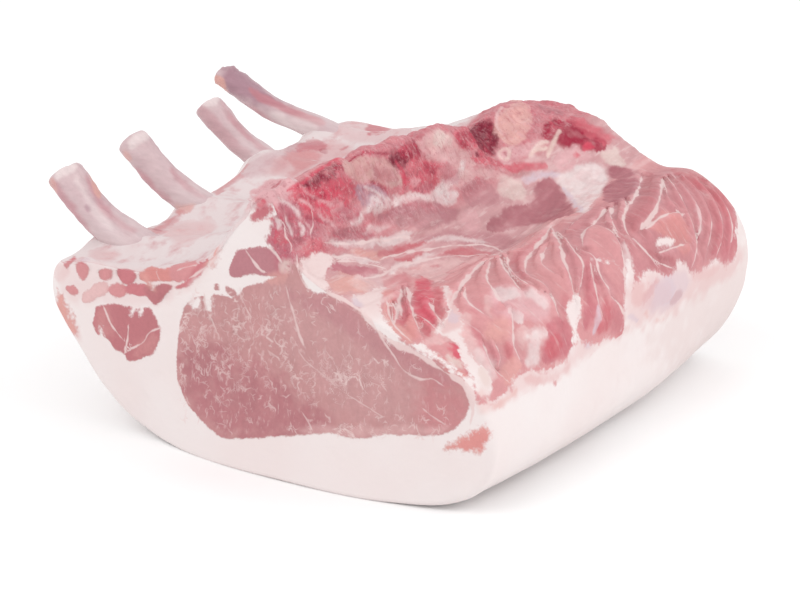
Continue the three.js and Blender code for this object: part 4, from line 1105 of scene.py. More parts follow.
# Threads of marbling in the eye. Places and lengths are in pixels, widths in millimetres.
THREADS = {
    "seed": 5,
    "count": 660,
    "box": ((180, 288), (450, 434)),
    "sparse": 0.1,  # the chance of a thread far from every cluster
    "heading": (75, 35),  # in degrees, and its spread
    "bend": 0.85,  # spread of each step's turn, in radians
    "steps": (2, 5),
    "step": (1.3, 3.6),
    "branching": 0.4,
    "branch_turn": (0.8, 1.5),  # in radians
    "branch": (2, 4),
    "half_width": (0.09, 0.13),  # the least, and how much more at most
    "thickening": (0.7, 0.5),  # the least, and how much more in a cluster
}
THREAD_CLUSTERS = [((234, 344), (72, 56)), ((366, 426), (60, 9)), ((345, 376), (46, 22))]  # centre and spread

# Marks on the bare bones: colour, softness in pixels, strength and outline. The pink along a bone's edges and
# the white down its middle are partly its own colour and partly painted shade at the edges and painted
# highlight in the middle.
BONE_MARKS = [
    # painted shade: rib bone 4 darker at its foot, where it goes into the meat
    ("bone_shade", 3.0, 0.9, [(284, 106), (306, 110), (332, 121), (328, 134), (302, 131), (284, 121)]),
    ("bone_pink", 3.0, 0.25, [(288, 108), (306, 112), (330, 122), (322, 132), (300, 129), (286, 119)]),
    # bone 1: pink along both edges, this mark and the next, partly painted shade
    ("bone_pink", 5, 0.8, [
        (48, 178), (56, 178), (68, 198), (86, 222), (98, 240), (90, 248), (68, 222), (52, 198),
    ]),
    ("bone_pink", 5, 0.8, [
        (84, 170), (94, 184), (104, 204), (120, 218), (140, 230), (134, 236), (114, 224), (98, 208),
        (88, 186),
    ]),
    ("scrap", 2, 0.9, [(88, 172), (97, 178), (102, 188), (101, 200), (95, 196), (92, 184)]),
    ("scrap", 2, 0.6, [(48, 178), (54, 176), (58, 190), (56, 200), (50, 192)]),
    ("white", 4, 0.8, [(52, 172), (62, 164), (76, 162), (78, 170), (62, 178), (56, 182)]),
    ("bone_mauve", 2, 0.5, [(84, 204), (90, 204), (92, 212), (86, 212)]),
    # bone 1: paler middle, partly painted highlight
    ("white", 5, 0.5, [(72, 176), (78, 176), (96, 206), (116, 228), (108, 232), (88, 208)]),
    ("white", 4, 0.8, [(128, 142), (136, 132), (150, 130), (150, 138), (138, 146), (130, 152)]),
    ("scrap", 3, 0.6, [(120, 150), (128, 150), (134, 160), (126, 164)]),
    ("bone_pink", 5, 0.8, [
        (134, 166), (146, 174), (164, 194), (182, 206), (200, 204), (190, 216), (176, 216), (156, 200),
        (138, 178),
    ]),
    ("scrap", 3, 0.9, [(172, 202), (184, 206), (198, 202), (192, 212), (178, 214)]),
    ("bone_pink", 4, 0.7, [
        (170, 166), (180, 176), (196, 190), (210, 196), (200, 200), (184, 188), (172, 176),
    ]),
    ("bone_pink", 4, 0.5, [
        (196, 106), (204, 104), (220, 122), (238, 142), (258, 156), (256, 166), (240, 160), (222, 144),
        (204, 124),
    ]),
    ("white", 4, 0.7, [(200, 104), (208, 96), (218, 96), (220, 102), (210, 108)]),
    ("bone_pink", 4, 0.8, [
        (218, 98), (230, 112), (248, 132), (266, 148), (280, 154), (268, 158), (246, 140), (228, 120),
    ]),
    ("bone_mauve", 8, 0.8, [
        (220, 70), (232, 62), (246, 74), (264, 90), (288, 104), (300, 112), (270, 108), (244, 100), (226, 92),
    ]),
    ("scrap", 2.5, 1.0, [(212, 74), (222, 76), (226, 86), (228, 96), (218, 94), (210, 84)]),
    ("strip_red", 3, 0.55, [
        (246, 86), (262, 94), (284, 103), (308, 114), (328, 122), (322, 127), (300, 119), (276, 109),
        (256, 101),
    ]),
    # bone 4: pink lower edge, partly painted shade
    ("bone_pink", 5, 0.8, [
        (240, 100), (260, 112), (284, 128), (304, 138), (300, 144), (276, 132), (250, 116),
    ]),
    # bone 4: paler middle, partly painted highlight
    ("white", 5, 0.6, [(270, 110), (290, 116), (320, 126), (312, 134), (290, 128), (272, 118)]),
]

# ---------- the skin: one closed surface with its marks and relief ----------
LIGHT = 1.2  # brightness of a white surface in the scene
GLOSS = 0.02  # what the moist surface's reflection adds
SRGB_OFFSET, SRGB_POWER = 0.055, 2.4
CORNER_CUT = 0.25  # how much of each side an outline's corner loses
PATH_STEP = 3  # pixels between the points of a path
EVERYWHERE = slice(None)

# How noise moves the edges of marks, coarse and fine: size of its lumps, how far, and seed.
PATCH_STIR = ((6.0, 1.1, 11), (2.0, 0.5, 14))
LINE_STIR = ((7.0, 0.35, 17), (2.2, 0.14, 21))
CUT_STIR = 0.35  # how much of that is left on the cut faces

# The skin's noises: size of the lumps in millimetres, one for all ways or (x, y, z), seed, and octaves where
# they aren't three.
NOISES = {
    "far_wobble": (9, 31),
    "shreds": ((26, 9, 4), 41),
    "ragged": (3.2, 51),
    "soft_edge": (4.5, 55),
    "white_edge": (1.8, 57),
    "patch_edge": (3.0, 52),
    "fine_patch_edge": (1.5, 59),
    "fat_patch_edge": (3.5, 52),
    "wide_patch_edge": (9.0, 58),
    "patch_strength": (2.2, 56),
    "streak_wear": (3.0, 53),
    "line_wear": (4.0, 54),
    "lengthwise": ((18.0, 2.2, 2.2), 61),
    "crosswise": ((2.4, 9.0, 9.0), 62),
    "ridge": (2.6, 63),
    "blotchy": (13.0, 64),
    "film": ((26, 10, 10), 65),
    "fat": (26.0, 66),
    "halo": (3.0, 67),
    "eye": ((6.0, 2.6, 11.0), 68),
    "fine_eye": (5.0, 69),
    "crags": (8.0, 71),
    "fine_crags": (2.4, 72),
    "rills": ((18.0, 2.8, 2.8), 61),
    "film_relief": ((9.0, 14.0, 9.0), 73),
    "fat_relief": (24.0, 74, 2),
    "fine_fat_relief": (7.0, 75),
    "cut_relief": (5.0, 76),
}
# Zones round the section, in landmarks: where each begins and ends, and how far it fades on both sides.
ZONES = {
    "lean": (AT["valley"] - 0.6, AT["pleura_low"] + 1.2, 0.5),
    "valley": (AT["valley"] - 0.6, AT["ridge_foot"] - 0.3, 0.5),
    "ridge": (AT["ridge_foot"] + 0.1, AT["ridge_back"] - 0.3, 0.4),
    "rib_meat": (AT["ridge_back"] + 0.2, AT["pleura_low"] + 1.5, 0.4),
    "valley_fibres": (AT["valley"] - 0.7, AT["ridge_foot"] + 0.2, 0.5),
    "torn_ridge": (AT["ridge_foot"] + 0.1, AT["ridge_back"] - 0.2, 0.3),
    "film": (AT["ridge_back"] - 0.1, AT["pleura_low"] + 1.1, 0.4),
    "crags": (AT["ridge_foot"] - 0.2, AT["ridge_back"] - 0.2, 0.5),
    "rills": (AT["valley"] - 0.7, AT["ridge_foot"], 0.5),
    "film_relief": (AT["ridge_back"], AT["pleura_low"] + 1.1, 0.4),
}

LEAN_LIMIT = 3.5  # millimetres from the edge of lean beyond which distance no longer counts
FAR_WOBBLE = 1.2
# The far face's layer of rib meat: a point on its underside, its slope, its edges, and its gap to the eye.
FAR_LAYER = {
    "y": 60,
    "z": 46,
    "rise": 0.2,
    "zone": (-1.0, 3.5, 1.5),
    "from_y": 62,
    "off_eye": (3.0, 6.0),
    "depth": 5.0,
}
RIM_LEAN = {"zone": (-0.1, 0.8, 0.4), "level": -1.2, "swing": 3.2}  # shreds of lean beside the bare bones
SOFT_LEAN = ("roll", "fibre", "mauve_red", "red", "peach", "blotch")  # lean whose edges are soft
SPONGY_LEAN = ("fibre", "mauve_red", "red")
RAGGED = 0.4  # millimetres by which every edge of lean is ragged
# Millimetres from the edge of lean, outward and inward, between which each of these sets in.
LEAN_EDGE = {"colour": (-0.8, 0.6), "bare": (-0.4, 0.4), "sponge": (0.0, 0.5)}
MUSCLE_EDGE = {"roll": (0.0, 5.0), "eye": (0.5, 3.0)}
SOFT_EDGE = {"slope": 0.32, "wander": 1.2}
WHITE_EDGE = {"slope": 0.4, "wander": 0.6, "shift": 0.8}
WANDER = (0.5, 0.3)  # how far soft patches wander, coarse and fine, as shares of their softness
PATCH_STRENGTH = {"level": 0.92, "swing": 0.5}
STREAK_WEAR = {"level": 0.8, "swing": 0.6}
STREAK_BLUR = 0.5
LINE_WEAR = {"level": 0.7, "swing": 1.3, "range": (0.05, 1.9)}

# How strongly the noises shade the lean. The fold term is painted shade: each bundle of the roll darker on
# one side of its fold and lighter on the other.
SHADING = {"streak": 0.14, "blotchy": 0.06, "painted_fold_shade": -0.09, "eye": 0.06}
ROLL_STREAKS = 0.7  # as strong as those in the valley
FOLD_SHADE_WIDTH = 1.6  # millimetres from a fold over which its painted shade fades
DARK_RED = (0.32, 0.18)  # red light of lean that begins to be dark, and of dark lean
FLECKS_IN_DARK = {"sponge": 0.5, "gore": 0.6}  # how much of the flecks dark lean loses
BLOODY_SHARE = (0.48, 0.24)  # green light to red, where lean begins to be bloody and where it is
HAIRY_SHARE = (0.4, 0.52)  # the same where hairs of fat begin and where they are full
HALO = {"width": 1.4, "level": 0.28, "swing": 0.45, "most": 0.8}  # paler lean beside the roll's folds: partly pale film, partly painted highlight along their edges
FILM = {"level": 1.06, "swing": 0.3, "patch_cut": 0.85, "patch_edge": (-0.3, 0.7)}
FAT_BLOOM = {"level": 0.5, "swing": 0.9}  # where fat is pinker
FAT_SHARES = {"fat_pink": 0.6, "membrane": 0.8, "seam": 0.8}
VEIL = {"least": 0.06, "swing": 0.42, "noise": (0.0, 0.7)}  # the thinner film in the valley
MARBLING = {"most": 0.9, "drop": 0.45, "from_y": 60, "to_y": 20}


def linear(name):
    """The surface colour that looks like a palette colour in this scene's light."""
    value = np.array(PALETTE[name]) / 255
    light = ((value + SRGB_OFFSET) / (1 + SRGB_OFFSET)) ** SRGB_POWER
    return np.clip((light - GLOSS) / LIGHT, 0.0, 1.0)


def blend(layer, at, colour, strength):
    """Mixes a palette colour into a layer of colours."""
    layer[at] += (linear(colour) - layer[at]) * strength[:, None]


def rounded(path, closed):
    """The path with its corners cut twice, in steps of a few pixels."""
    p = np.array(path, float)
    for _ in range(2):
        after = np.roll(p, -1, axis=0) if closed else p[1:]
        before = p if closed else p[:-1]
        ends = [before * (1 - share) + after * share for share in (CORNER_CUT, 1 - CORNER_CUT)]
        cut_path = np.stack(ends, axis=1).reshape(-1, 2)
        p = cut_path if closed else np.vstack([p[:1], cut_path, p[-1:]])
    if closed:
        p = np.vstack([p, p[:1]])
    steps = np.maximum(1, (np.linalg.norm(np.diff(p, axis=0), axis=1) / PATH_STEP).astype(int))
    parts = [np.linspace(a, b, n, endpoint=False) for a, b, n in zip(p[:-1], p[1:], steps)]
    return np.vstack(parts + [p[-1:]])


class Skin:
    """The whole surface: its points, and what is known and painted at each of them."""

    REACH = 6.0  # how far from a mark its distance is measured
    LONGEST_STEP = 9.0  # a longer one jumps from one surface to another behind it
    CLEARANCE = 0.5  # how far off the skin the test of what the camera sees begins

    def __init__(self):
        rows, self.position, self.end = smooth_form()
        self.points = rows.reshape(-1, 3)
        faces = skin_faces(len(rows), rows.shape[1])
        self.obj = new_piece("skin", self.points, faces)
        self.normals = normals_of(self.obj.data)
        self.tree = BVHTree.FromPolygons(self.points.tolist(), faces)
        self.seen = self.find_seen()
        self.on_side = self.end == 0
        self.far_face = np.nonzero(self.end > 0)[0]
        self.noises = {}
        # Marks are laid on points that noise has stirred, so that their edges run as unevenly as meat does.
        share = np.where(self.on_side, 1.0, CUT_STIR)[:, None]
        coarse, fine = (self.stir(*how) for how in PATCH_STIR)
        self.patchy = self.points + share * (coarse + fine)
        coarse, fine = (self.stir(*how) for how in LINE_STIR)
        self.liney = self.points + coarse + share * fine
        self.pixels = pixels_of(self.patchy)

    def find_seen(self):
        """Which points the photograph's camera sees."""
        sight = self.points - EYE_POINT
        seen = np.einsum("ij,ij->i", sight, self.normals) < 0
        for i in np.nonzero(seen)[0]:
            start = Vector(self.points[i] + self.normals[i] * self.CLEARANCE)
            back = Vector(EYE_POINT) - start
            if self.tree.ray_cast(start, back, back.length)[0] is not None:
                seen[i] = False
        return seen

    def fractal(self, size, seed, octaves=3):
        key = (size, seed, octaves)
        if key not in self.noises:
            self.noises[key] = fractal(self.points, size, seed, octaves)
        return self.noises[key]

    def noise(self, name):
        return self.fractal(*NOISES[name])

    def uneven(self, name, amounts, at=EVERYWHERE):
        """Noise about a level, at some of the points."""
        return amounts["level"] + amounts["swing"] * self.noise(name)[at]

    def stir(self, size, amount, seed):
        return amount * np.stack([self.fractal(size, seed + k, 2) for k in range(3)], axis=1)

    def zone(self, name):
        return within(self.position, *ZONES[name])

    def cast(self, path, closed):
        """What the camera sees along a path of pixels, as a line of points."""
        line = []
        for pixel in rounded(path, closed):
            direction = Vector(ray(pixel))
            hit = self.tree.ray_cast(Vector(EYE_POINT), direction)[0]
            if hit is None:
                hit = self.tree.find_nearest(Vector(EYE_POINT) + direction * DISTANCE)[0]
            line.append(hit)
        return np.array(line)

    def distance(self, line, points):
        """The points within reach of a line: their distances, signed ones too, and their places along it."""
        low, high = line.min(axis=0) - self.REACH, line.max(axis=0) + self.REACH
        near = np.nonzero(np.all((points > low) & (points < high), axis=1))[0]
        p, normals = points[near], self.normals[near]
        nearest = np.full(len(near), self.REACH)
        side = np.ones(len(near))
        place = np.zeros(len(near))
        count = len(line) - 1
        for i, (a, b) in enumerate(zip(line[:-1], line[1:])):
            along = b - a
            length = along @ along
            if length > self.LONGEST_STEP**2:
                continue
            t = np.clip((p - a) @ along / max(length, TINY), 0, 1)
            off = p - a - t[:, None] * along
            distance = np.linalg.norm(off, axis=1)
            closer = distance < nearest
            nearest[closer] = distance[closer]
            side[closer] = np.sign(np.einsum("ij,ij->i", np.cross(along, off[closer]), normals[closer]))
            place[closer] = (i + t[closer]) / count
        return near, nearest, nearest * side, place

    def inside(self, outline):
        """Distances inward from the edge of an outline, in millimetres, and outward as negative numbers."""
        near, nearest, _, _ = self.distance(self.cast(outline, True), self.patchy)
        within_it = encloses(rounded(outline, True), self.pixels[near]) & self.seen[near]
        return near, np.where(within_it, nearest, -nearest)

    def wandering(self, outline, soft, coarse, fine):
        """The same, with an edge that wanders as far as its softness lets it."""
        near, signed = self.inside(outline)
        for share, name in zip(WANDER, (coarse, fine)):
            signed = signed + share * soft * self.noise(name)[near]
        return near, ease(signed, -0.5 * soft, 0.5 * soft + 0.3)


def encloses(border, points):
    """Which flat points lie within a closed border."""
    within_it = np.zeros(len(points), bool)
    x, y = points.T
    for (x0, y0), (x1, y1) in zip(border[:-1], border[1:]):
        crosses = (y0 > y) != (y1 > y)
        within_it ^= crosses & (x < (x1 - x0) * (y - y0) / (y1 - y0 + TINY) + x0)
    return within_it


def depth_in(border, points):
    """Distances of flat points inward from a closed border, and outward as negative numbers."""
    nearest = np.full(len(points), np.inf)
    for a, b in zip(border[:-1], border[1:]):
        along = b - a
        t = np.clip((points - a) @ along / max(along @ along, TINY), 0, 1)
        nearest = np.minimum(nearest, np.linalg.norm(points - a - t[:, None] * along, axis=1))
    return np.where(encloses(border, points), nearest, -nearest)


def section_depth(landmarks, x, points):
    """Distances inward from a piece's outline at x, for points (y, z)."""
    step = 0.1
    position = np.arange(0, len(landmarks) + step / 2, step)
    return depth_in(round_section(along_piece(landmarks, [x]), position)[0], points)


def lean_zones(skin):
    """Where lean shows before any mark is laid, in millimetres from its edge, and the lean's own colour."""
    skin.lean = LEAN_LIMIT * (2 * skin.zone("lean") * skin.on_side - 1)
    skin.flesh = np.tile(linear("roll"), (len(skin.points), 1))
    for name in ("valley", "ridge", "rib_meat"):
        blend(skin.flesh, EVERYWHERE, name, skin.zone(name))
    blend(skin.flesh, EVERYWHERE, "eye", (~skin.on_side).astype(float))


def paint_hidden_sides(skin):
    """The far cut face and the side under the bones, which the photograph doesn't show."""
    far = skin.far_face
    flat = skin.points[far][:, 1:]
    y, z = flat.T
    wobble = FAR_WOBBLE * fractal(skin.points[far], *NOISES["far_wobble"])
    for landmarks, colour in ((LOIN_EYE, "eye"), (CAP_MUSCLE, "cap"), (BACK_MUSCLE, "roll")):
        signed = section_depth(landmarks, LENGTH, flat) + wobble
        skin.lean[far] = np.maximum(skin.lean[far], np.clip(signed, -LEAN_LIMIT, LEAN_LIMIT))
        blend(skin.flesh, far, colour, ease(signed, -0.5, 0.5))
    touching, clear = FAR_LAYER["off_eye"]
    off_eye = ease(section_depth(LOIN_EYE, LENGTH, flat), -touching, -clear) * (y > FAR_LAYER["from_y"])
    height = z - FAR_LAYER["z"] - FAR_LAYER["rise"] * (y - FAR_LAYER["y"])
    layer = within(height, *FAR_LAYER["zone"]) * off_eye
    skin.lean[far] = np.maximum(skin.lean[far], FAR_LAYER["depth"] * layer - LEAN_LIMIT + wobble)
    blend(skin.flesh, far, "strip", layer)

    s = skin.position
    rim = within(np.where(s > TURN / 2, s - TURN, s), *RIM_LEAN["zone"]) * skin.on_side * ~skin.seen > 0.5
    skin.lean = np.where(rim, skin.uneven("shreds", RIM_LEAN), skin.lean)
    blend(skin.flesh, EVERYWHERE, "strip", rim.astype(float))


def lay_patches(skin):
    """The outlined marks: lean among fat, changes of colour in the lean, and fat among lean."""
    ragged = RAGGED * skin.noise("ragged")
    skin.bare = np.zeros(len(skin.points))  # where no film lies over the lean
    skin.sponge = np.zeros(len(skin.points))  # where the lean is torn and flecked
    for colour, outline in LEAN:
        near, signed = skin.inside(outline)
        if colour in SOFT_LEAN:
            signed = SOFT_EDGE["slope"] * (signed + SOFT_EDGE["wander"] * skin.noise("soft_edge")[near])
        signed = signed + ragged[near]
        skin.lean[near] = np.maximum(skin.lean[near], signed)
        blend(skin.flesh, near, colour, ease(signed, *LEAN_EDGE["colour"]))
        skin.bare[near] = np.maximum(skin.bare[near], ease(signed, *LEAN_EDGE["bare"]))
        if colour in SPONGY_LEAN:
            skin.sponge[near] = np.maximum(skin.sponge[near], ease(signed, *LEAN_EDGE["sponge"]))
    for colour, soft, strength, outline in TINTS + TOP_TINTS:
        near, share = skin.wandering(outline, soft, "patch_edge", "fine_patch_edge")
        blotched = np.clip(skin.uneven("patch_strength", PATCH_STRENGTH, near), 0, 1)
        blend(skin.flesh, near, colour, strength * blotched * share)
    for colour, half_width, strength, path in STREAKS:
        near, distance, _, place = skin.distance(skin.cast(path, False), skin.liney)
        worn = half_width * skin.uneven("streak_wear", STREAK_WEAR, near) * tapered(place)
        blend(skin.flesh, near, colour, strength * (1 - ease(distance, 0.5 * worn, worn + STREAK_BLUR)))
    for outline in WHITE:
        near, signed = skin.inside(outline)
        uneven = ragged[near] + WHITE_EDGE["wander"] * skin.noise("white_edge")[near]
        depth = WHITE_EDGE["slope"] * (signed + WHITE_EDGE["shift"] * uneven)
        skin.lean[near] = np.minimum(skin.lean[near], -depth)


def tapered(place):
    """1 in the middle of a path, less towards its ends."""
    slope, least = 6, 0.04
    return np.sqrt(np.clip(slope * np.minimum(place, 1 - place), least, 1))


def marbling_threads():
    """Short branching threads of fat in the eye, densest in its clusters: half-widths and paths of pixels."""
    rng = np.random.default_rng(THREADS["seed"])

    def step(turn, shortest, longest):
        return rng.uniform(shortest, longest) * np.array([math.cos(turn), math.sin(turn)])

    thin, more = THREADS["half_width"]
    least, thicker = THREADS["thickening"]
    threads = []
    while len(threads) < THREADS["count"]:
        start = rng.uniform(*THREADS["box"])
        offsets = [(start - centre) / spread for centre, spread in THREAD_CLUSTERS]
        richness = max(bell(np.hypot(*offset), 1.0) for offset in offsets)
        if rng.random() > THREADS["sparse"] + (1 - THREADS["sparse"]) * richness:
            continue
        heading = math.radians(rng.normal(*THREADS["heading"]))
        half_width = thin + more * rng.random() ** 2
        half_width *= least + thicker * richness
        place, path, turn = start, [start], heading
        for _ in range(rng.integers(*THREADS["steps"])):
            turn = heading + rng.normal(0, THREADS["bend"])
            place = place + step(turn, *THREADS["step"])
            path.append(place)
        threads.append((half_width, path))
        if rng.random() < THREADS["branching"]:
            turn += rng.choice([-1, 1]) * rng.uniform(*THREADS["branch_turn"])
            threads.append((half_width, [path[1], path[1] + step(turn, *THREADS["branch"])]))
    return threads


def lay_lines(skin):
    """White lines: for each point, the nearest one's half-width and its distance, unsigned and signed."""
    count = len(skin.points)
    skin.width = np.zeros(count)
    skin.gap = np.full(count, Skin.REACH)
    skin.side = np.full(count, Skin.REACH)
    skin.fold = np.full(count, Skin.REACH)  # signed distance from a fold between bundles of the roll
    folds = len(SEAMS)
    for number, (half_width, path) in enumerate(SEAMS + marbling_threads()):
        near, distance, signed, place = skin.distance(skin.cast(path, False), skin.liney)
        wear = np.clip(skin.uneven("line_wear", LINE_WEAR, near), *LINE_WEAR["range"])
        worn = half_width * wear * tapered(place)
        closer = distance - worn < skin.gap[near] - skin.width[near]
        for layer, values in ((skin.width, worn), (skin.gap, distance), (skin.side, signed)):
            layer[near[closer]] = values[closer]
        if number < folds:
            closer = distance < np.abs(skin.fold[near])
            skin.fold[near[closer]] = signed[closer]


def find_muscles(skin):
    """How deep in the roll and in the eye each point lies, from 0 to 1."""
    skin.roll = np.zeros(len(skin.points))
    near, depth = skin.inside(ROLL)
    skin.roll[near] = ease(depth, *MUSCLE_EDGE["roll"])
    skin.eye = np.zeros(len(skin.points))
    near, depth = skin.inside(EYE)
    skin.eye[near] = ease(depth, *MUSCLE_EDGE["eye"])
    depth = section_depth(LOIN_EYE, LENGTH, skin.points[skin.far_face][:, 1:])
    skin.eye[skin.far_face] = ease(depth, *MUSCLE_EDGE["eye"])


def shade_lean(skin, in_valley, on_ridge):
    """Streaks along the fibres, lengthwise in the valley and across in the roll, and where lean is bloody;
    painted shade on one side of each of the roll's folds, and a paler band beside each, partly film and
    partly painted highlight.
    """
    streak = in_valley * skin.noise("lengthwise") + ROLL_STREAKS * skin.roll * skin.noise("crosswise")
    shade = {
        "streak": streak + on_ridge * skin.noise("ridge"),
        "blotchy": skin.noise("blotchy"),
        # painted shade: darker on one side of each fold of the roll, lighter on the other
        "painted_fold_shade": skin.roll * np.sign(skin.fold) * np.exp(-np.abs(skin.fold) / FOLD_SHADE_WIDTH),
        "eye": skin.eye * (skin.noise("eye") + 0.5 * skin.noise("fine_eye")),
    }
    # Paler lean along the roll's folds: partly pale film, partly painted highlight on the fold edges.
    halo = np.clip(skin.uneven("halo", HALO), 0, HALO["most"])
    blend(skin.flesh, EVERYWHERE, "fibre", skin.roll * bell(skin.fold, HALO["width"]) * halo)
    brightness = 1 + sum(amount * shade[name] for name, amount in SHADING.items())
    skin.flesh = np.clip(skin.flesh * brightness[:, None], 0, 1)
    share = skin.flesh[:, 1] / np.maximum(skin.flesh[:, 0], 0.01)  # green to red: low where it is bloody
    dark = ease(skin.flesh[:, 0], *DARK_RED)
    skin.sponge = np.maximum(skin.sponge, on_ridge) * (1 - FLECKS_IN_DARK["sponge"] * dark)
    bloody = ease(share, *BLOODY_SHARE) * (1 - FLECKS_IN_DARK["gore"] * dark)
    skin.gore = np.maximum(on_ridge, skin.sponge) * bloody
    skin.along = in_valley * ease(share, *HAIRY_SHARE)
    skin.across = skin.roll
    fading = MARBLING["drop"] * ease(skin.points[:, 1], MARBLING["from_y"], MARBLING["to_y"])
    skin.marbling = np.clip(skin.eye * (MARBLING["most"] - fading), 0, 1)


def lay_film(skin, in_valley, on_film):
    """The film over the ribs, and the thinner one in the valley, both broken by the marks on them."""
    skin.film = np.clip(on_film * skin.uneven("film", FILM), 0, 1) * (1 - skin.bare)
    veil = ease(skin.noise("lengthwise") + 0.5 * skin.noise("blotchy"), *VEIL["noise"])
    skin.film = np.maximum(skin.film, in_valley * (VEIL["least"] + VEIL["swing"] * veil))
    for _, soft, strength, outline in TOP_TINTS:
        near, signed = skin.inside(outline)
        low, high = FILM["patch_edge"]
        skin.film[near] *= 1 - FILM["patch_cut"] * strength * ease(signed, low * soft, high * soft)


def colour_fat(skin, in_valley, on_film):
    """The colour of fat and of everything white."""
    skin.pale = np.tile(linear("fat"), (len(skin.points), 1))
    bloom = np.clip(skin.uneven("fat", FAT_BLOOM), 0, 1)
    blend(skin.pale, EVERYWHERE, "fat_pink", FAT_SHARES["fat_pink"] * bloom)
    blend(skin.pale, EVERYWHERE, "membrane", on_film * (1 - FAT_SHARES["membrane"] * skin.bare))
    blend(skin.pale, EVERYWHERE, "seam", FAT_SHARES["seam"] * np.clip(in_valley + 0.5 * skin.roll, 0, 1))
    for colour, soft, strength, outline in FAT_TINTS:
        near, share = skin.wandering(outline, soft, "fat_patch_edge", "wide_patch_edge")
        blend(skin.pale, near, colour, strength * share)


def paint(skin):
    lean_zones(skin)
    paint_hidden_sides(skin)
    lay_patches(skin)
    lay_lines(skin)
    find_muscles(skin)
    in_valley = skin.zone("valley_fibres") * skin.on_side
    on_ridge = skin.zone("torn_ridge") * skin.on_side
    on_film = skin.zone("film") * skin.on_side
    shade_lean(skin, in_valley, on_ridge)
    lay_film(skin, in_valley, on_film)
    colour_fat(skin, in_valley, on_film)


# Heights of the relief in millimetres, and how wide its forms are.
LIFTED = 10.0  # millimetres above the underside over which relief sets in
FOLD = {"step": -0.55, "sharpness": 0.8, "reach": 3.0, "groove": -0.35, "groove_width": 0.9, "uneven": 0.3}
CRAGS = {"coarse": 1.3, "fine": 0.5, "notch": -1.4, "notch_width": 3.0}
RILLS = 0.7
FILM_RELIEF = 0.7
FAT_RELIEF = {"coarse": 0.8, "fine": 0.2, "on_cut": 0.3}
CUT_RELIEF = {"uneven": 0.25, "line": -0.15, "line_edge": (-0.2, 0.5), "lean": 0.3, "lean_edge": (-0.4, 0.8)}


def raise_relief(skin):
    # Each fold of the roll is a small step, where one bundle ends over the next.
    step = np.tanh(skin.fold / FOLD["sharpness"]) * bell(skin.fold, FOLD["reach"])
    fold = FOLD["step"] * step + FOLD["groove"] * bell(skin.fold, FOLD["groove_width"])
    fold = skin.roll * (fold + FOLD["uneven"] * skin.noise("crosswise"))
    notch = np.max([bell(skin.points[:, 0] - x, CRAGS["notch_width"]) for x in DISC_X], axis=0)
    crags = CRAGS["coarse"] * skin.noise("crags") + CRAGS["fine"] * skin.noise("fine_crags")
    crags = crags + CRAGS["notch"] * notch
    on_side = skin.zone("crags") * crags + skin.zone("rills") * RILLS * skin.noise("rills")
    on_side = on_side + skin.zone("film_relief") * FILM_RELIEF * skin.noise("film_relief")
    fat = FAT_RELIEF["coarse"] * skin.noise("fat_relief") + FAT_RELIEF["fine"] * skin.noise("fine_fat_relief")
    line = 1 - ease(skin.gap - skin.width, *CUT_RELIEF["line_edge"])
    on_cut = CUT_RELIEF["uneven"] * skin.noise("cut_relief") + CUT_RELIEF["line"] * line
    on_cut = on_cut + CUT_RELIEF["lean"] * ease(skin.lean, *CUT_RELIEF["lean_edge"])
    height = fold + np.where(skin.on_side, on_side + fat, on_cut + FAT_RELIEF["on_cut"] * fat)
    height = height * ease(skin.points[:, 2], 0.0, LIFTED)
    skin.raised = skin.points + height[:, None] * skin.normals
    skin.raised[:, 2] = np.maximum(skin.raised[:, 2], 0.0)
    move_points(skin.obj.data, skin.raised)


LAYERS = ("lean", "width", "gap", "side", "marbling", "film", "sponge", "gore", "along", "across")
COLOURS = ("flesh", "pale")


def store_colour(mesh, name, values):
    layer = mesh.attributes.new(name, "FLOAT_COLOR", "POINT")
    rgba = np.hstack([values, np.ones((len(values), 1))])
    layer.data.foreach_set("color", rgba.astype(np.float32).ravel())


def store(mesh, values):
    """Writes the painted layers to a mesh's points."""
    for name in LAYERS:
        layer = mesh.attributes.new(name, "FLOAT", "POINT")
        layer.data.foreach_set("value", values[name].astype(np.float32))
    for name in COLOURS:
        store_colour(mesh, name, values[name])


def clear_layers(mesh):
    for name in LAYERS + COLOURS:
        if name in mesh.attributes:
            mesh.attributes.remove(mesh.attributes[name])


class Painter:
    """Gives the points of a cut piece what the skin has nearest to them."""

    NEIGHBOURS = 3
    TOUCHING = 1e-3  # a nearer neighbour than this weighs no more

    def __init__(self, skin):
        self.skin = skin
        self.tree = KDTree(len(skin.raised))
        for i, point in enumerate(skin.raised):
            self.tree.insert(point, i)
        self.tree.balance()

    def __call__(self, mesh):
        nearest, weights = [], []
        for point in points_of(mesh):
            found = self.tree.find_n(point, self.NEIGHBOURS)
            nearest.append([index for _, index, _ in found])
            weights.append([1 / (distance + self.TOUCHING) for _, _, distance in found])
        nearest, weights = np.array(nearest), np.array(weights)
        weights /= weights.sum(axis=1, keepdims=True)
        values = {}
        for name in LAYERS + COLOURS:
            at_them = getattr(self.skin, name)[nearest]
            spread = weights[..., None] if at_them.ndim == 3 else weights
            values[name] = (at_them * spread).sum(axis=1)
        clear_layers(mesh)
        store(mesh, values)


# ---------- cutting the skin into the model's pieces ----------
RUN_PAST = 14.0  # how far a region passes both cut faces
REGION_STEP = 8  # along the piece
SECTION_STEP = 0.25  # round the section, in landmarks
BACK_MUSCLE_X = (9.0, LENGTH - 4.0)
SHARP = math.radians(50)  # faces that meet at more than this angle keep their edge


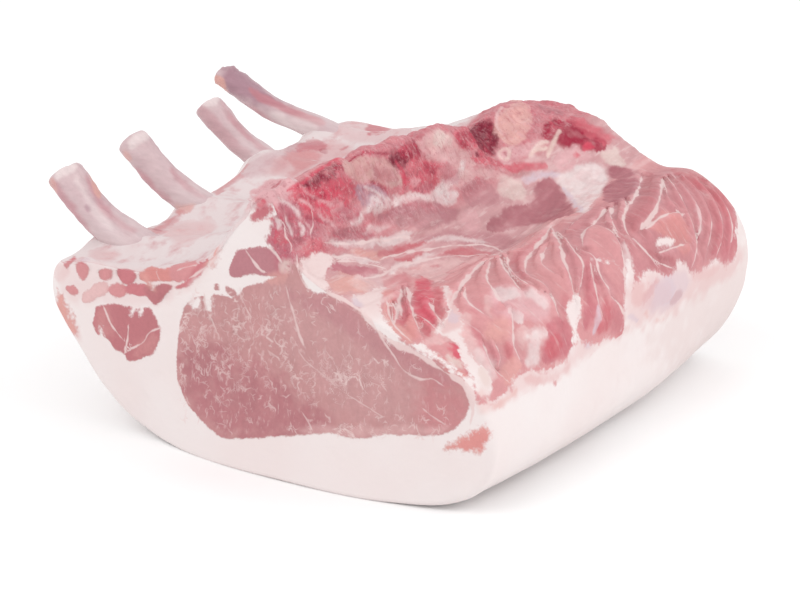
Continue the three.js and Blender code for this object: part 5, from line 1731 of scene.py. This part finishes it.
def region_piece(landmarks, x0, x1):
    """A closed solid that holds what one piece fills of the meat."""
    stops = np.linspace(x0, x1, 2 + int((x1 - x0) / REGION_STEP))
    position = np.arange(0, len(landmarks), SECTION_STEP)
    section = round_section(along_piece(landmarks, stops), position)
    x = np.broadcast_to(stops[:, None, None], section.shape[:2] + (1,))
    points = np.concatenate([x, section], axis=-1).reshape(-1, 3)
    return new_piece("region", points, skin_faces(len(stops), len(position)))


def cut(obj, tool, operation):
    """The mesh that is left of obj after cutting it with tool."""
    modifier = obj.modifiers.new("cut", "BOOLEAN")
    modifier.operation = operation
    modifier.solver = "MANIFOLD"
    modifier.object = tool
    graph = bpy.context.evaluated_depsgraph_get()
    mesh = bpy.data.meshes.new_from_object(obj.evaluated_get(graph))
    obj.modifiers.remove(modifier)
    return mesh


def discard(obj):
    mesh = obj.data
    bpy.data.objects.remove(obj)
    bpy.data.meshes.remove(mesh)


def take_out(rest, landmarks, name, x0=-RUN_PAST, x1=LENGTH + RUN_PAST):
    """Cuts a piece out of the rest, and gives it."""
    tool = region_piece(landmarks, x0, x1)
    mesh = cut(rest, tool, "INTERSECT")
    remainder = cut(rest, tool, "DIFFERENCE")
    discard(tool)
    old = rest.data
    rest.data = remainder
    bpy.data.meshes.remove(old)
    piece = bpy.data.objects.new(f"{name}_detail", mesh)
    bpy.context.scene.collection.objects.link(piece)
    return piece


def cut_up(rest):
    """Every piece of the meat by the name of the model's node that it stands for."""
    pieces = {}
    for i, x in enumerate(VERTEBRA_X):
        name = f"vertebra_{i + 1}"
        pieces[name] = take_out(rest, VERTEBRA, name, x, x + VERTEBRA_LENGTH)
    pieces["rib_meat"] = take_out(rest, RIB_MEAT, "rib_meat")
    pieces["back_muscle"] = take_out(rest, BACK_MUSCLE, "back_muscle", *BACK_MUSCLE_X)
    pieces["loin_eye"] = take_out(rest, LOIN_EYE, "loin_eye")
    pieces["cap_muscle"] = take_out(rest, CAP_MUSCLE, "cap_muscle")
    rest.name = "fat_cap_detail"
    pieces["fat_cap"] = rest
    return pieces


# ---------- bare bones ----------
BONE_STOPS = 84
BONE_SIDES = 56
SQUARENESS = 0.86  # below 1, a bone's section is fuller than an ellipse
SWELLS = [(0.06, 0.9, 0.1), (0.1, 0.3, 0.2)]  # how much a bone thickens, where along it, and how far
TIP_STOPS = 3  # the last stops, in whose place the tip's rings come
TIP_REACH = 1.3
TIP_RINGS = np.array([0.0, 0.35, 0.62, 0.82, 0.94, 1.0])
TIP_ROUNDING = 0.22  # how much the rounded edge takes off the tip's radius
TIP_FACE = {"rings": [0.55, 0.3, 0.04], "bulge": 0.1}
TIP_CHIPS = (0.7, 0.6, 0.5, 1.8)  # how broken each sawn tip is
TIP_START = 0.82  # of the bone's length
# The bones' unevenness: size of its lumps in millimetres, height and seed.
BONE_LUMPS = [((8, 10, 8), 0.45, 81), ((2.4, 9, 2.4), 0.22, 91), ((3, 20, 3), 0.3, 111)]
CHIP_LUMPS = (3.0, 101)
BONE_CLOUDS = ((9, 14, 9), 90)
BONE_RAGGED = ((2.5, 5, 2.5), 95)
MARK_EDGE = {"ragged": 0.7, "soft": 0.6}  # as shares of a mark's softness
SLEEVE = {"share": 0.35, "ends": 12, "full": 2, "ragged": 3}  # the membrane that is left at a bone's foot


def curve_through(corners, t):
    """Points on the open centripetal curve that the model's bones follow."""
    corners = np.array(corners, float)
    ends = [2 * corners[0] - corners[1], 2 * corners[-1] - corners[-2]]
    p = np.vstack([ends[:1], corners, ends[1:]])
    place = np.clip(t, 0, 1 - TINY) * (len(corners) - 1)
    i = place.astype(int)
    return centripetal([p[i + k] for k in range(4)], (place - i)[:, None])


def bone_colours(points, number):
    """What the points of a bare bone are painted."""
    size, seed = BONE_CLOUDS
    colours = np.tile(linear("bone_clean"), (len(points), 1))
    cloudy = 0.5 + 0.8 * fractal(points, size, seed + number)
    blend(colours, EVERYWHERE, "bone_shade", np.clip(cloudy, 0, 1))
    pixels = pixels_of(points)
    size, seed = BONE_RAGGED
    ragged = fractal(points, size, seed + number)
    for colour, soft, strength, outline in BONE_MARKS:
        depth = depth_in(rounded(outline, True), pixels) + MARK_EDGE["ragged"] * soft * ragged
        edge = MARK_EDGE["soft"] * soft
        blend(colours, EVERYWHERE, colour, strength * ease(depth, -edge, edge))
    from_base = np.linalg.norm(points[:, 1:] - RIBS[number]["base"], axis=1) + SLEEVE["ragged"] * ragged
    blend(colours, EVERYWHERE, "membrane", SLEEVE["share"] * ease(from_base, SLEEVE["ends"], SLEEVE["full"]))
    return colours


def unit(vectors):
    return vectors / np.linalg.norm(vectors, axis=1, keepdims=True)


def bone_piece(number):
    rib = RIBS[number]
    x = RIB_X[number] + rib["shift"]
    base, tip = np.array(rib["base"], float), np.array(rib["tip"], float)
    start = np.array([x, *base])
    end = np.array([x + rib["lean"], *tip])
    middle = (start + end) / 2 - np.array([0, 0, RIB_BOW])
    root = np.array([x, RIB_ROOT["y"], base[1] - RIB_ROOT["drop"]])

    t = np.linspace(0, 1, BONE_STOPS)
    centre = curve_through([root, start, middle, end], t)
    along = unit(np.gradient(centre, axis=0))
    side = np.array([1.0, 0.0, 0.0])
    up = unit(np.cross(side, along))

    # The tip is sawn off square, with a rounded edge, in extra rings that close on it.
    taper = 1 + sum(amount * bell(t - place, width) for amount, place, width in SWELLS)
    shrink = np.sqrt(np.maximum(0, 1 - TIP_RINGS**2)) * TIP_ROUNDING + 1 - TIP_ROUNDING
    shrink = np.concatenate([shrink, TIP_FACE["rings"]])
    kept = BONE_STOPS - TIP_STOPS
    reach = np.concatenate([TIP_REACH * (TIP_RINGS - 1), np.full(len(TIP_FACE["rings"]), TIP_FACE["bulge"])])
    centre = np.vstack([centre[:kept], centre[-1] + reach[:, None] * along[-1]])
    up = np.vstack([up[:kept], np.tile(up[-1], (len(reach), 1))])
    taper = np.concatenate([taper[:kept], taper[-1] * shrink])
    share = np.repeat(np.concatenate([t[:kept], np.ones(len(reach))]), BONE_SIDES)

    angle = np.linspace(0, 2 * math.pi, BONE_SIDES, endpoint=False)
    across, high = (np.sign(wave) * np.abs(wave) ** SQUARENESS for wave in (np.cos(angle), np.sin(angle)))
    wide = rib["width"] / 2 * across[None, :, None] * side
    thick = rib["thickness"] / 2 * high[None, :, None] * up[:, None]
    points = (centre[:, None] + taper[:, None, None] * (wide + thick)).reshape(-1, 3)
    outward = points - np.repeat(centre, BONE_SIDES, axis=0)
    outward /= np.maximum(np.linalg.norm(outward, axis=1, keepdims=True), TINY)
    lumps = sum(height * fractal(points, size, seed + number) for size, height, seed in BONE_LUMPS)
    size, seed = CHIP_LUMPS
    lumps = lumps + ease(share, TIP_START, 1.0) * TIP_CHIPS[number] * fractal(points, size, seed + number)
    points = points + lumps[:, None] * outward
    faces = [face[::-1] for face in skin_faces(len(centre), BONE_SIDES)]
    piece = new_piece(f"rib_bone_{number + 1}_detail", points, faces)
    store_colour(piece.data, "flesh", bone_colours(points, number))
    return piece


# ---------- materials ----------
# Noises of the materials: size in millimetres, detail and roughness, and for those that are longer one way
# than another their turn in degrees and their scale.
TEXTURES = {
    "fine": (1.1, 3.0, 0.6),
    "coarse": (3.5, 2.0, 0.5),
    "veil": (6.0, 4.0, 0.6),
    "blood_spots": (2.6, 4.0, 0.75),
    "pale_bits": (2.1, 4.0, 0.8),
    "pits": (1.7, 4.0, 0.8),
    "flecks": (1.9, 4.0, 0.8),
    "dots": (0.9, 2.0, 0.6),
    "torn": (1.5, 4.0, 0.7, (0, 0, -12), (1.0, 0.3, 0.3)),
    "upright": (1.1, 3.0, 0.6, (-15, 0, 0), (0.8, 1.0, 0.35)),
    "lengthwise": (1.3, 3.0, 0.6, (0, 0, 0), (0.14, 1.0, 1.0)),
    "crosswise": (1.2, 3.0, 0.6, (0, 0, 8), (1.0, 0.16, 0.16)),
    "bone": (1.4, 3.0, 0.6, (-30, 0, 0), (1.0, 0.18, 1.0)),
}
# Flecks in torn lean: their texture, its values where they begin and where they are full, the layer that
# holds them, strength and colour.
FLECKS = [
    ("blood_spots", (0.5, 0.6), "gore", 0.5, "bright_red"),
    ("pale_bits", (0.55, 0.64), "gore", 0.5, "fibre"),
    ("pits", (0.53, 0.61), "gore", 0.34, "blood"),
    ("flecks", (0.53, 0.63), "clean", 0.45, "fibre"),
    ("torn", (0.54, 0.64), "sponge", 0.22, "crimson"),
    ("torn", (0.46, 0.38), "sponge", 0.35, "fibre"),
    ("dots", (0.58, 0.66), "sponge", 0.4, "bone_rose"),
]
CLEAN = 0.55  # how much of the torn lean's flecks blood hides
# Fine dashes of fat: their texture, its values where they begin and are full, and the layer that holds them.
HAIRS = [
    ("upright", (0.53, 0.66), "marbling"),
    ("lengthwise", (0.54, 0.7), "along"),
    ("crosswise", (0.56, 0.8), "across"),
]
HAIR_GAPS = (0.4, 0.6)
HAIR_STRENGTH = 0.4
RAGGED_EDGE = 1.35
LEAN_BLUR = (-0.35, 0.35)  # millimetres from the edge of lean
VEIL_EDGE = (0.15, 0.55)
LINE_EDGE = {"ragged": 0.16, "full": -0.28, "ends": 0.25, "apart": (0.3, 0.8)}
LINE_STRENGTH, LINE_FADE = 0.9, 0.25
GRAIN_SHADE = {"from": 0.89, "swing": 0.22}
WETNESS = {"fat": 0.56, "lean": -0.08}
RELIEF_DEPTH = 0.4  # millimetres of the finest bumps
BONE_SURFACE = {"roughness": 0.45, "bump": 0.35, "shade": 0.85, "swing": 0.3}
SPECULAR, IOR = 0.35, 1.4
MEAT_OUTPUTS = {"Color": "NodeSocketColor", "Roughness": "NodeSocketFloat", "Height": "NodeSocketFloat"}


class Graph:
    """Adds nodes to a tree. Every method gives the new node's output."""

    def __init__(self, tree):
        self.tree = tree
        self.textures = {}

    def add(self, kind, inputs, output=0, **settings):
        node = self.tree.nodes.new(kind)
        for key, value in settings.items():
            setattr(node, key, value)
        for key, value in inputs.items():
            self.feed(node.inputs[key], value)
        return node.outputs[output]

    def feed(self, socket, value):
        if isinstance(value, bpy.types.NodeSocket):
            self.tree.links.new(value, socket)
        else:
            socket.default_value = value

    def math(self, operation, a, b, c=0.0, clamp=False):
        return self.add("ShaderNodeMath", {0: a, 1: b, 2: c}, operation=operation, use_clamp=clamp)

    def times(self, a, b):
        return self.math("MULTIPLY", a, b)

    def less(self, a, b):
        return self.math("SUBTRACT", a, b)

    def step(self, value, low, high):
        inputs = {"Value": value, "From Min": low, "From Max": high}
        return self.add("ShaderNodeMapRange", inputs, interpolation_type="SMOOTHSTEP")

    def mix(self, factor, a, b, blend_type="MIX"):
        inputs = {0: factor, 6: a, 7: b}
        return self.add("ShaderNodeMix", inputs, output=2, data_type="RGBA", blend_type=blend_type)

    def spread(self, under, mask, colour):
        """A palette colour over another output, as thick as a mask."""
        return self.mix(mask, under, (*linear(colour), 1.0))

    def shaded(self, colour, shade):
        """A colour with its brightness changed."""
        grey_shade = self.add("ShaderNodeCombineColor", {0: shade, 1: shade, 2: shade})
        return self.mix(1.0, colour, grey_shade, "MULTIPLY")

    def texture(self, name):
        """One of the noises, about 0.5."""
        if name not in self.textures:
            size, detail, roughness, *stretch = TEXTURES[name]
            where = self.add("ShaderNodeTexCoord", {}, output=3)  # in the object's own frame
            if stretch:
                turn, scale = stretch
                turn = [math.radians(angle) for angle in turn]
                where = self.add("ShaderNodeMapping", {"Vector": where, "Rotation": turn, "Scale": scale})
            inputs = {"Vector": where, "Scale": 1 / (size * MM), "Detail": detail, "Roughness": roughness}
            self.textures[name] = self.add("ShaderNodeTexNoise", inputs)
        return self.textures[name]

    def layer(self, name, colour=False):
        return self.add("ShaderNodeAttribute", {}, output=0 if colour else 2, attribute_name=name)


def grey(value):
    return (value, value, value, 1.0)


def white_lines(g, ragged):
    """1 on a white line, as wide as its layer says, by the signed distance, which is even across it."""
    off = g.math("ABSOLUTE", g.math("ADD", g.layer("side"), g.times(ragged, LINE_EDGE["ragged"])), 0.0)
    line = g.less(1.0, g.step(g.less(off, g.layer("width")), LINE_EDGE["full"], LINE_EDGE["ends"]))
    apart = g.step(g.less(g.layer("gap"), g.layer("width")), *LINE_EDGE["apart"])
    return g.times(line, g.less(1.0, apart))


def torn_lean(g):
    """The lean's colour with its grain, flecks and fine hairs of fat."""
    grain = g.math("MULTIPLY_ADD", g.texture("fine"), GRAIN_SHADE["swing"], GRAIN_SHADE["from"])
    tissue = g.shaded(g.layer("flesh", True), grain)
    masks = {name: g.layer(name) for name in ("gore", "sponge")}
    masks["clean"] = g.times(masks["sponge"], g.less(1.0, g.times(masks["gore"], CLEAN)))
    for texture, shown, mask, strength, colour in FLECKS:
        amount = g.times(g.step(g.texture(texture), *shown), masks[mask])
        tissue = g.spread(tissue, g.times(amount, strength), colour)

    # Fine dashes of fat: upright in the eye, lengthwise in the valley, across in the roll.
    upright, lengthwise, crosswise = (
        g.times(g.step(g.texture(texture), *shown), g.layer(layer)) for texture, shown, layer in HAIRS
    )
    dashes = g.times(upright, g.step(g.texture("coarse"), *HAIR_GAPS))
    hairs = g.math("ADD", lengthwise, crosswise, clamp=True)
    for fat in (dashes, hairs):
        tissue = g.spread(tissue, g.times(fat, HAIR_STRENGTH), "seam")
    return tissue


def meat_group():
    """Colour, roughness and height of the meat from the layers painted on it."""
    tree = bpy.data.node_groups.new("meat", "ShaderNodeTree")
    for name, kind in MEAT_OUTPUTS.items():
        tree.interface.new_socket(name, in_out="OUTPUT", socket_type=kind)
    g = Graph(tree)
    fine, coarse = g.texture("fine"), g.texture("coarse")
    ragged = g.times(g.less(fine, 0.5), RAGGED_EDGE)
    lean = g.step(g.math("ADD", g.layer("lean"), ragged), *LEAN_BLUR)
    pale = g.layer("pale", True)
    veil = g.times(g.layer("film"), g.step(g.texture("veil"), *VEIL_EDGE))
    colour = g.mix(lean, pale, g.mix(veil, torn_lean(g), pale))
    faint = g.less(LINE_STRENGTH, g.times(g.layer("marbling"), LINE_FADE))
    colour = g.spread(colour, g.times(white_lines(g, ragged), faint), "seam")

    out = tree.nodes.new("NodeGroupOutput")
    g.feed(out.inputs["Color"], colour)
    g.feed(out.inputs["Roughness"], g.math("MULTIPLY_ADD", lean, WETNESS["lean"], WETNESS["fat"]))
    g.feed(out.inputs["Height"], g.math("ADD", g.times(fine, 0.5), g.times(coarse, 0.5)))
    return tree


def surface(g, colour, roughness, height, bump):
    """Ends a material in one Principled shader."""
    shader = g.tree.nodes["Principled BSDF"]
    g.feed(shader.inputs["Base Color"], colour)
    g.feed(shader.inputs["Roughness"], roughness)
    shader.inputs["Specular IOR Level"].default_value = SPECULAR
    shader.inputs["IOR"].default_value = IOR
    lumps = g.add("ShaderNodeBump", {"Height": height, "Strength": bump, "Distance": RELIEF_DEPTH * MM})
    g.feed(shader.inputs["Normal"], lumps)


def new_material(name):
    material = bpy.data.materials.new(name)
    material.use_nodes = True
    return material


def meat_material(name, tree, bump):
    material = new_material(name)
    group = material.node_tree.nodes.new("ShaderNodeGroup")
    group.node_tree = tree
    surface(Graph(material.node_tree), *(group.outputs[name] for name in MEAT_OUTPUTS), bump)
    return material


def bone_material():
    material = new_material("bare_bone")
    g = Graph(material.node_tree)
    streaks = g.texture("bone")
    shade = g.math("MULTIPLY_ADD", streaks, BONE_SURFACE["swing"], BONE_SURFACE["shade"])
    colour = g.shaded(g.layer("flesh", True), shade)
    surface(g, colour, BONE_SURFACE["roughness"], streaks, BONE_SURFACE["bump"])
    return material


def plain_material(name, colour, roughness):
    material = new_material(name)
    shader = material.node_tree.nodes["Principled BSDF"]
    shader.inputs["Base Color"].default_value = grey(colour)
    shader.inputs["Roughness"].default_value = roughness
    shader.inputs["Specular IOR Level"].default_value = 0.0
    return material


# ---------- the scene ----------
FLOOR = {"half_size": 6.0, "white": 0.96, "roughness": 0.9}  # in metres
SKY = 0.95
# Lights: name, place and size in metres, and power in watts.
LIGHTS = [
    ("key", (-1.1, 0.5, 1.3), 1.2, 6.4),
    ("side", (0.3, -1.4, 1.0), 1.2, 7.6),
]
SLOTS = {
    "fat_cap": "fat",
    "loin_eye": "lean",
    "back_muscle": "red_lean",
    "cap_muscle": "red_lean",
    "rib_meat": "membrane",
    "vertebra": "sawn_bone",
    "rib_bone": "bare_bone",
}
BUMP = {"fat": 0.15, "lean": 0.35, "red_lean": 0.35, "membrane": 0.25, "sawn_bone": 0.9}


def make_floor():
    size = FLOOR["half_size"]
    corners = np.array([(-size, -size, 0), (size, -size, 0), (size, size, 0), (-size, size, 0)])
    floor = new_piece("floor", corners / MM + ORIGIN, [[0, 1, 2, 3]])
    floor.data.materials.append(plain_material("floor", FLOOR["white"], FLOOR["roughness"]))


def area_light(name, place, size, power):
    data = bpy.data.lights.new(name, "AREA")
    data.shape = "DISK"
    data.size = size
    data.energy = power
    light = bpy.data.objects.new(name, data)
    bpy.context.scene.collection.objects.link(light)
    light.location = place
    light.rotation_mode = "QUATERNION"
    light.rotation_quaternion = (-Vector(place)).to_track_quat("-Z", "Y")


def make_light():
    world = bpy.data.worlds.new("studio")
    world.use_nodes = True
    back = world.node_tree.nodes["Background"]
    back.inputs["Color"].default_value = grey(1.0)
    back.inputs["Strength"].default_value = SKY
    bpy.context.scene.world = world
    for name, place, size, power in LIGHTS:
        area_light(name, place, size, power)
    bpy.context.scene.view_settings.view_transform = "Standard"


skin = Skin()
paint(skin)
raise_relief(skin)
pieces = cut_up(skin.obj)
paint_piece = Painter(skin)
meat = meat_group()
materials = {name: meat_material(name, meat, bump) for name, bump in BUMP.items()}
for piece in pieces.values():
    paint_piece(piece.data)
    piece.data.shade_smooth()
    piece.data.set_sharp_from_angle(angle=SHARP)
materials["bare_bone"] = bone_material()
for number in range(RIB_COUNT):
    piece = bone_piece(number)
    piece.data.shade_smooth()
    pieces[f"rib_bone_{number + 1}"] = piece

for node, piece in pieces.items():
    kind = node.rstrip("_1234")
    piece.data.materials.clear()
    piece.data.materials.append(materials[SLOTS[kind]])
    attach(piece, "root")
    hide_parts(node)

make_floor()
make_light()
make_camera()
